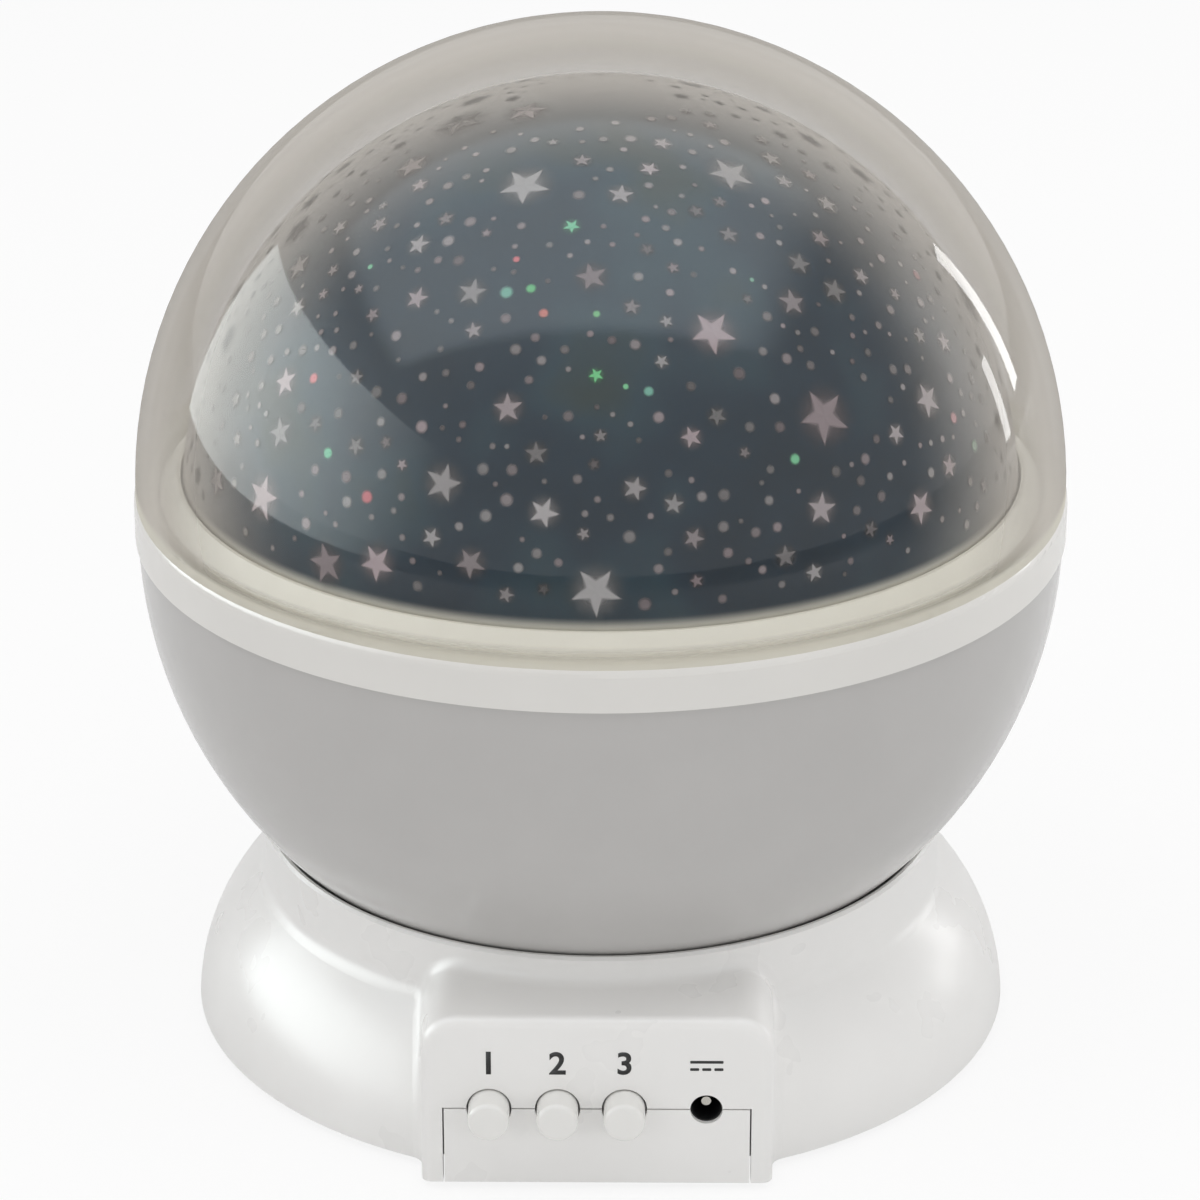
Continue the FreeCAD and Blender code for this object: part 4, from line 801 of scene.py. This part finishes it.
def fade(light, bright, dark, edge):
    """Let a lamp's face fade out from one share of its width to another, and softly along its edges."""
    light.use_nodes = True
    tree = light.node_tree
    tree.nodes.clear()
    spot = add(tree, "ShaderNodeNewGeometry").outputs["Parametric"]
    face = add(tree, "ShaderNodeSeparateXYZ", Vector=spot)
    level = add(tree, "ShaderNodeMapRange", {"interpolation_type": "SMOOTHSTEP"}, Value=face.outputs["X"],
                From_Min=dark, From_Max=bright)
    for side in ("X", "Y"):
        off_middle = add(tree, "ShaderNodeMath", {"operation": "SUBTRACT"}, i0=face.outputs[side], i1=0.5)
        off_middle = add(tree, "ShaderNodeMath", {"operation": "ABSOLUTE"}, i0=off_middle)
        soft = add(tree, "ShaderNodeMapRange", {"interpolation_type": "SMOOTHSTEP"}, Value=off_middle,
                   From_Min=0.5, From_Max=0.5 - edge)
        level = add(tree, "ShaderNodeMath", {"operation": "MULTIPLY"}, i0=level, i1=soft)
    glow = add(tree, "ShaderNodeEmission", Color=grey(1.0), Strength=level)
    add(tree, "ShaderNodeOutputLight", Surface=glow)


def pale_world(fill):
    """White to the eye, in gloss and through glass, with a softer fill on the object."""
    world = bpy.data.worlds.new("pale_surround")
    world.use_nodes = True
    tree = world.node_tree
    tree.nodes.clear()
    path = add(tree, "ShaderNodeLightPath")
    seen = add(tree, "ShaderNodeMath", {"operation": "MAXIMUM"}, i0=path.outputs["Is Camera Ray"],
               i1=path.outputs["Is Transmission Ray"])
    seen = add(tree, "ShaderNodeMath", {"operation": "MAXIMUM"}, i0=seen, i1=path.outputs["Is Glossy Ray"])
    level = add(tree, "ShaderNodeMath", {"operation": "MULTIPLY_ADD"}, i0=seen, i1=1.0 - fill, i2=fill)
    sky = add(tree, "ShaderNodeBackground", Color=grey(1.0), Strength=level)
    add(tree, "ShaderNodeOutputWorld", Surface=sky)
    bpy.context.scene.world = world


def pale_floor():
    """A pale matt floor, nearly white to the eye, that keeps the shadow and is clear from below."""
    bare()
    bpy.ops.mesh.primitive_plane_add(size=8.0, location=(0.0, 0.0, -0.02 * MM))
    floor = bpy.context.object
    settle(floor)
    floor.name = "floor"
    material, tree = new_material("pale_floor")
    place = add(tree, "ShaderNodeTexCoord").outputs["Object"]
    cloud = add(tree, "ShaderNodeTexNoise", Vector=place, Scale=3.0)
    tone = add(tree, "ShaderNodeValToRGB", {"stops": [(0.3, grey(0.86)), (0.7, grey(0.9))]}, Fac=cloud)
    matt = add(tree, "ShaderNodeBsdfDiffuse", Color=tone)
    white = add(tree, "ShaderNodeEmission", Color=grey(1.0), Strength=1.0)
    share = add(tree, "ShaderNodeMath", {"operation": "MULTIPLY"}, i1=0.86,
                i0=add(tree, "ShaderNodeLightPath").outputs["Is Camera Ray"])
    both = add(tree, "ShaderNodeMixShader", Fac=share, i1=matt, i2=white)
    below = add(tree, "ShaderNodeNewGeometry").outputs["Backfacing"]
    clear = add(tree, "ShaderNodeBsdfTransparent", Color=grey(1.0))
    seen = add(tree, "ShaderNodeMixShader", Fac=below, i1=both, i2=clear)
    add(tree, "ShaderNodeOutputMaterial", Surface=seen)
    floor.data.materials.append(material)


def lamps():
    """Plain lamps light the object, and cards and strips are only seen in its gloss."""
    cool, pale_green = (0.82, 0.93, 1.0), (0.92, 1.0, 1.0)
    softbox("overhead_lamp", (0.0, -0.06, 0.95), 1.9, 1.06, 0.9, shines=False)
    card = softbox("overhead_card", (0.0, -0.06, 0.96), 2.3, 1.1, 1.6, lights=False, tint=cool)
    fade(card, 0.72, 0.9, 0.1)
    softbox("left_lamp", (-0.80, 0.02, 0.26), 1.15, 0.50, 0.2, shines=False)
    card = softbox("left_card", (-0.80, -0.12, 0.26), 1.42, 0.50, 3.9, lights=False, tint=pale_green)
    fade(card, 0.4, 1.0, 0.02)
    softbox("front_left_lamp", (-0.62, -0.70, 0.25), 0.5, 0.4, 1.0, shines=False)
    softbox("front_right_lamp", (0.70, -0.66, 0.25), 0.6, 0.4, 1.2, shines=False)
    softbox("right_strip", (0.62, 0.44, 0.20), 0.05, 0.30, 7.0)
    softbox("right_low_strip", (0.70, 0.33, 0.10), 0.04, 0.16, 7.0)


def photo_camera():
    """The camera as fitted to the object's outline in the photo."""
    lens = bpy.data.cameras.new("photo_camera")
    lens.lens = 140.7
    lens.sensor_width = 36.0
    lens.shift_x = -0.7 / PHOTO_WIDTH
    camera = bpy.data.objects.new("photo_camera", lens)
    turn, tilt = math.radians(0.5), math.radians(66.26)
    distance, height = 0.59974, 0.32387
    camera.location = (distance * math.sin(turn), -distance * math.cos(turn), height)
    camera.rotation_euler = (tilt, 0.0, turn)
    bpy.context.collection.objects.link(camera)
    bpy.context.scene.camera = camera


class PROJECTOR_OT_stage(bpy.types.Operator):
    """Floor, surround, lamps and camera"""
    bl_idname = "projector.stage"
    bl_label = "Stage"

    def execute(self, context):
        pale_world(0.45)
        pale_floor()
        lamps()
        photo_camera()
        context.scene.view_settings.view_transform = "Standard"
        return {"FINISHED"}


class PROJECTOR_PT_build(bpy.types.Panel):
    """Sidebar panel with every step and every size and colour"""
    bl_label = "Planetarium Projector"
    bl_idname = "PROJECTOR_PT_build"
    bl_space_type = "VIEW_3D"
    bl_region_type = "UI"
    bl_category = "Projector"

    def draw(self, context):
        for step in STEPS:
            self.layout.operator(step.bl_idname)
        for group in (context.scene.projector_sizes, context.scene.projector_colours):
            for name in group.__annotations__:
                self.layout.prop(group, name)


STEPS = (PROJECTOR_OT_stage, PROJECTOR_OT_ball, PROJECTOR_OT_star_windows, PROJECTOR_OT_base,
         PROJECTOR_OT_panel, PROJECTOR_OT_small_parts, PROJECTOR_OT_insides)
CLASSES = (ProjectorSizes, ProjectorColours, *STEPS, PROJECTOR_PT_build)


def register():
    for item in CLASSES:
        bpy.utils.register_class(item)
    bpy.types.Scene.projector_sizes = PointerProperty(type=ProjectorSizes)
    bpy.types.Scene.projector_colours = PointerProperty(type=ProjectorColours)


def unregister():
    del bpy.types.Scene.projector_sizes
    del bpy.types.Scene.projector_colours
    for item in reversed(CLASSES):
        bpy.utils.unregister_class(item)


def main():
    register()
    for step in STEPS:
        group, name = step.bl_idname.split(".")
        getattr(getattr(bpy.ops, group), name)()


if __name__ == "__main__":
    main()
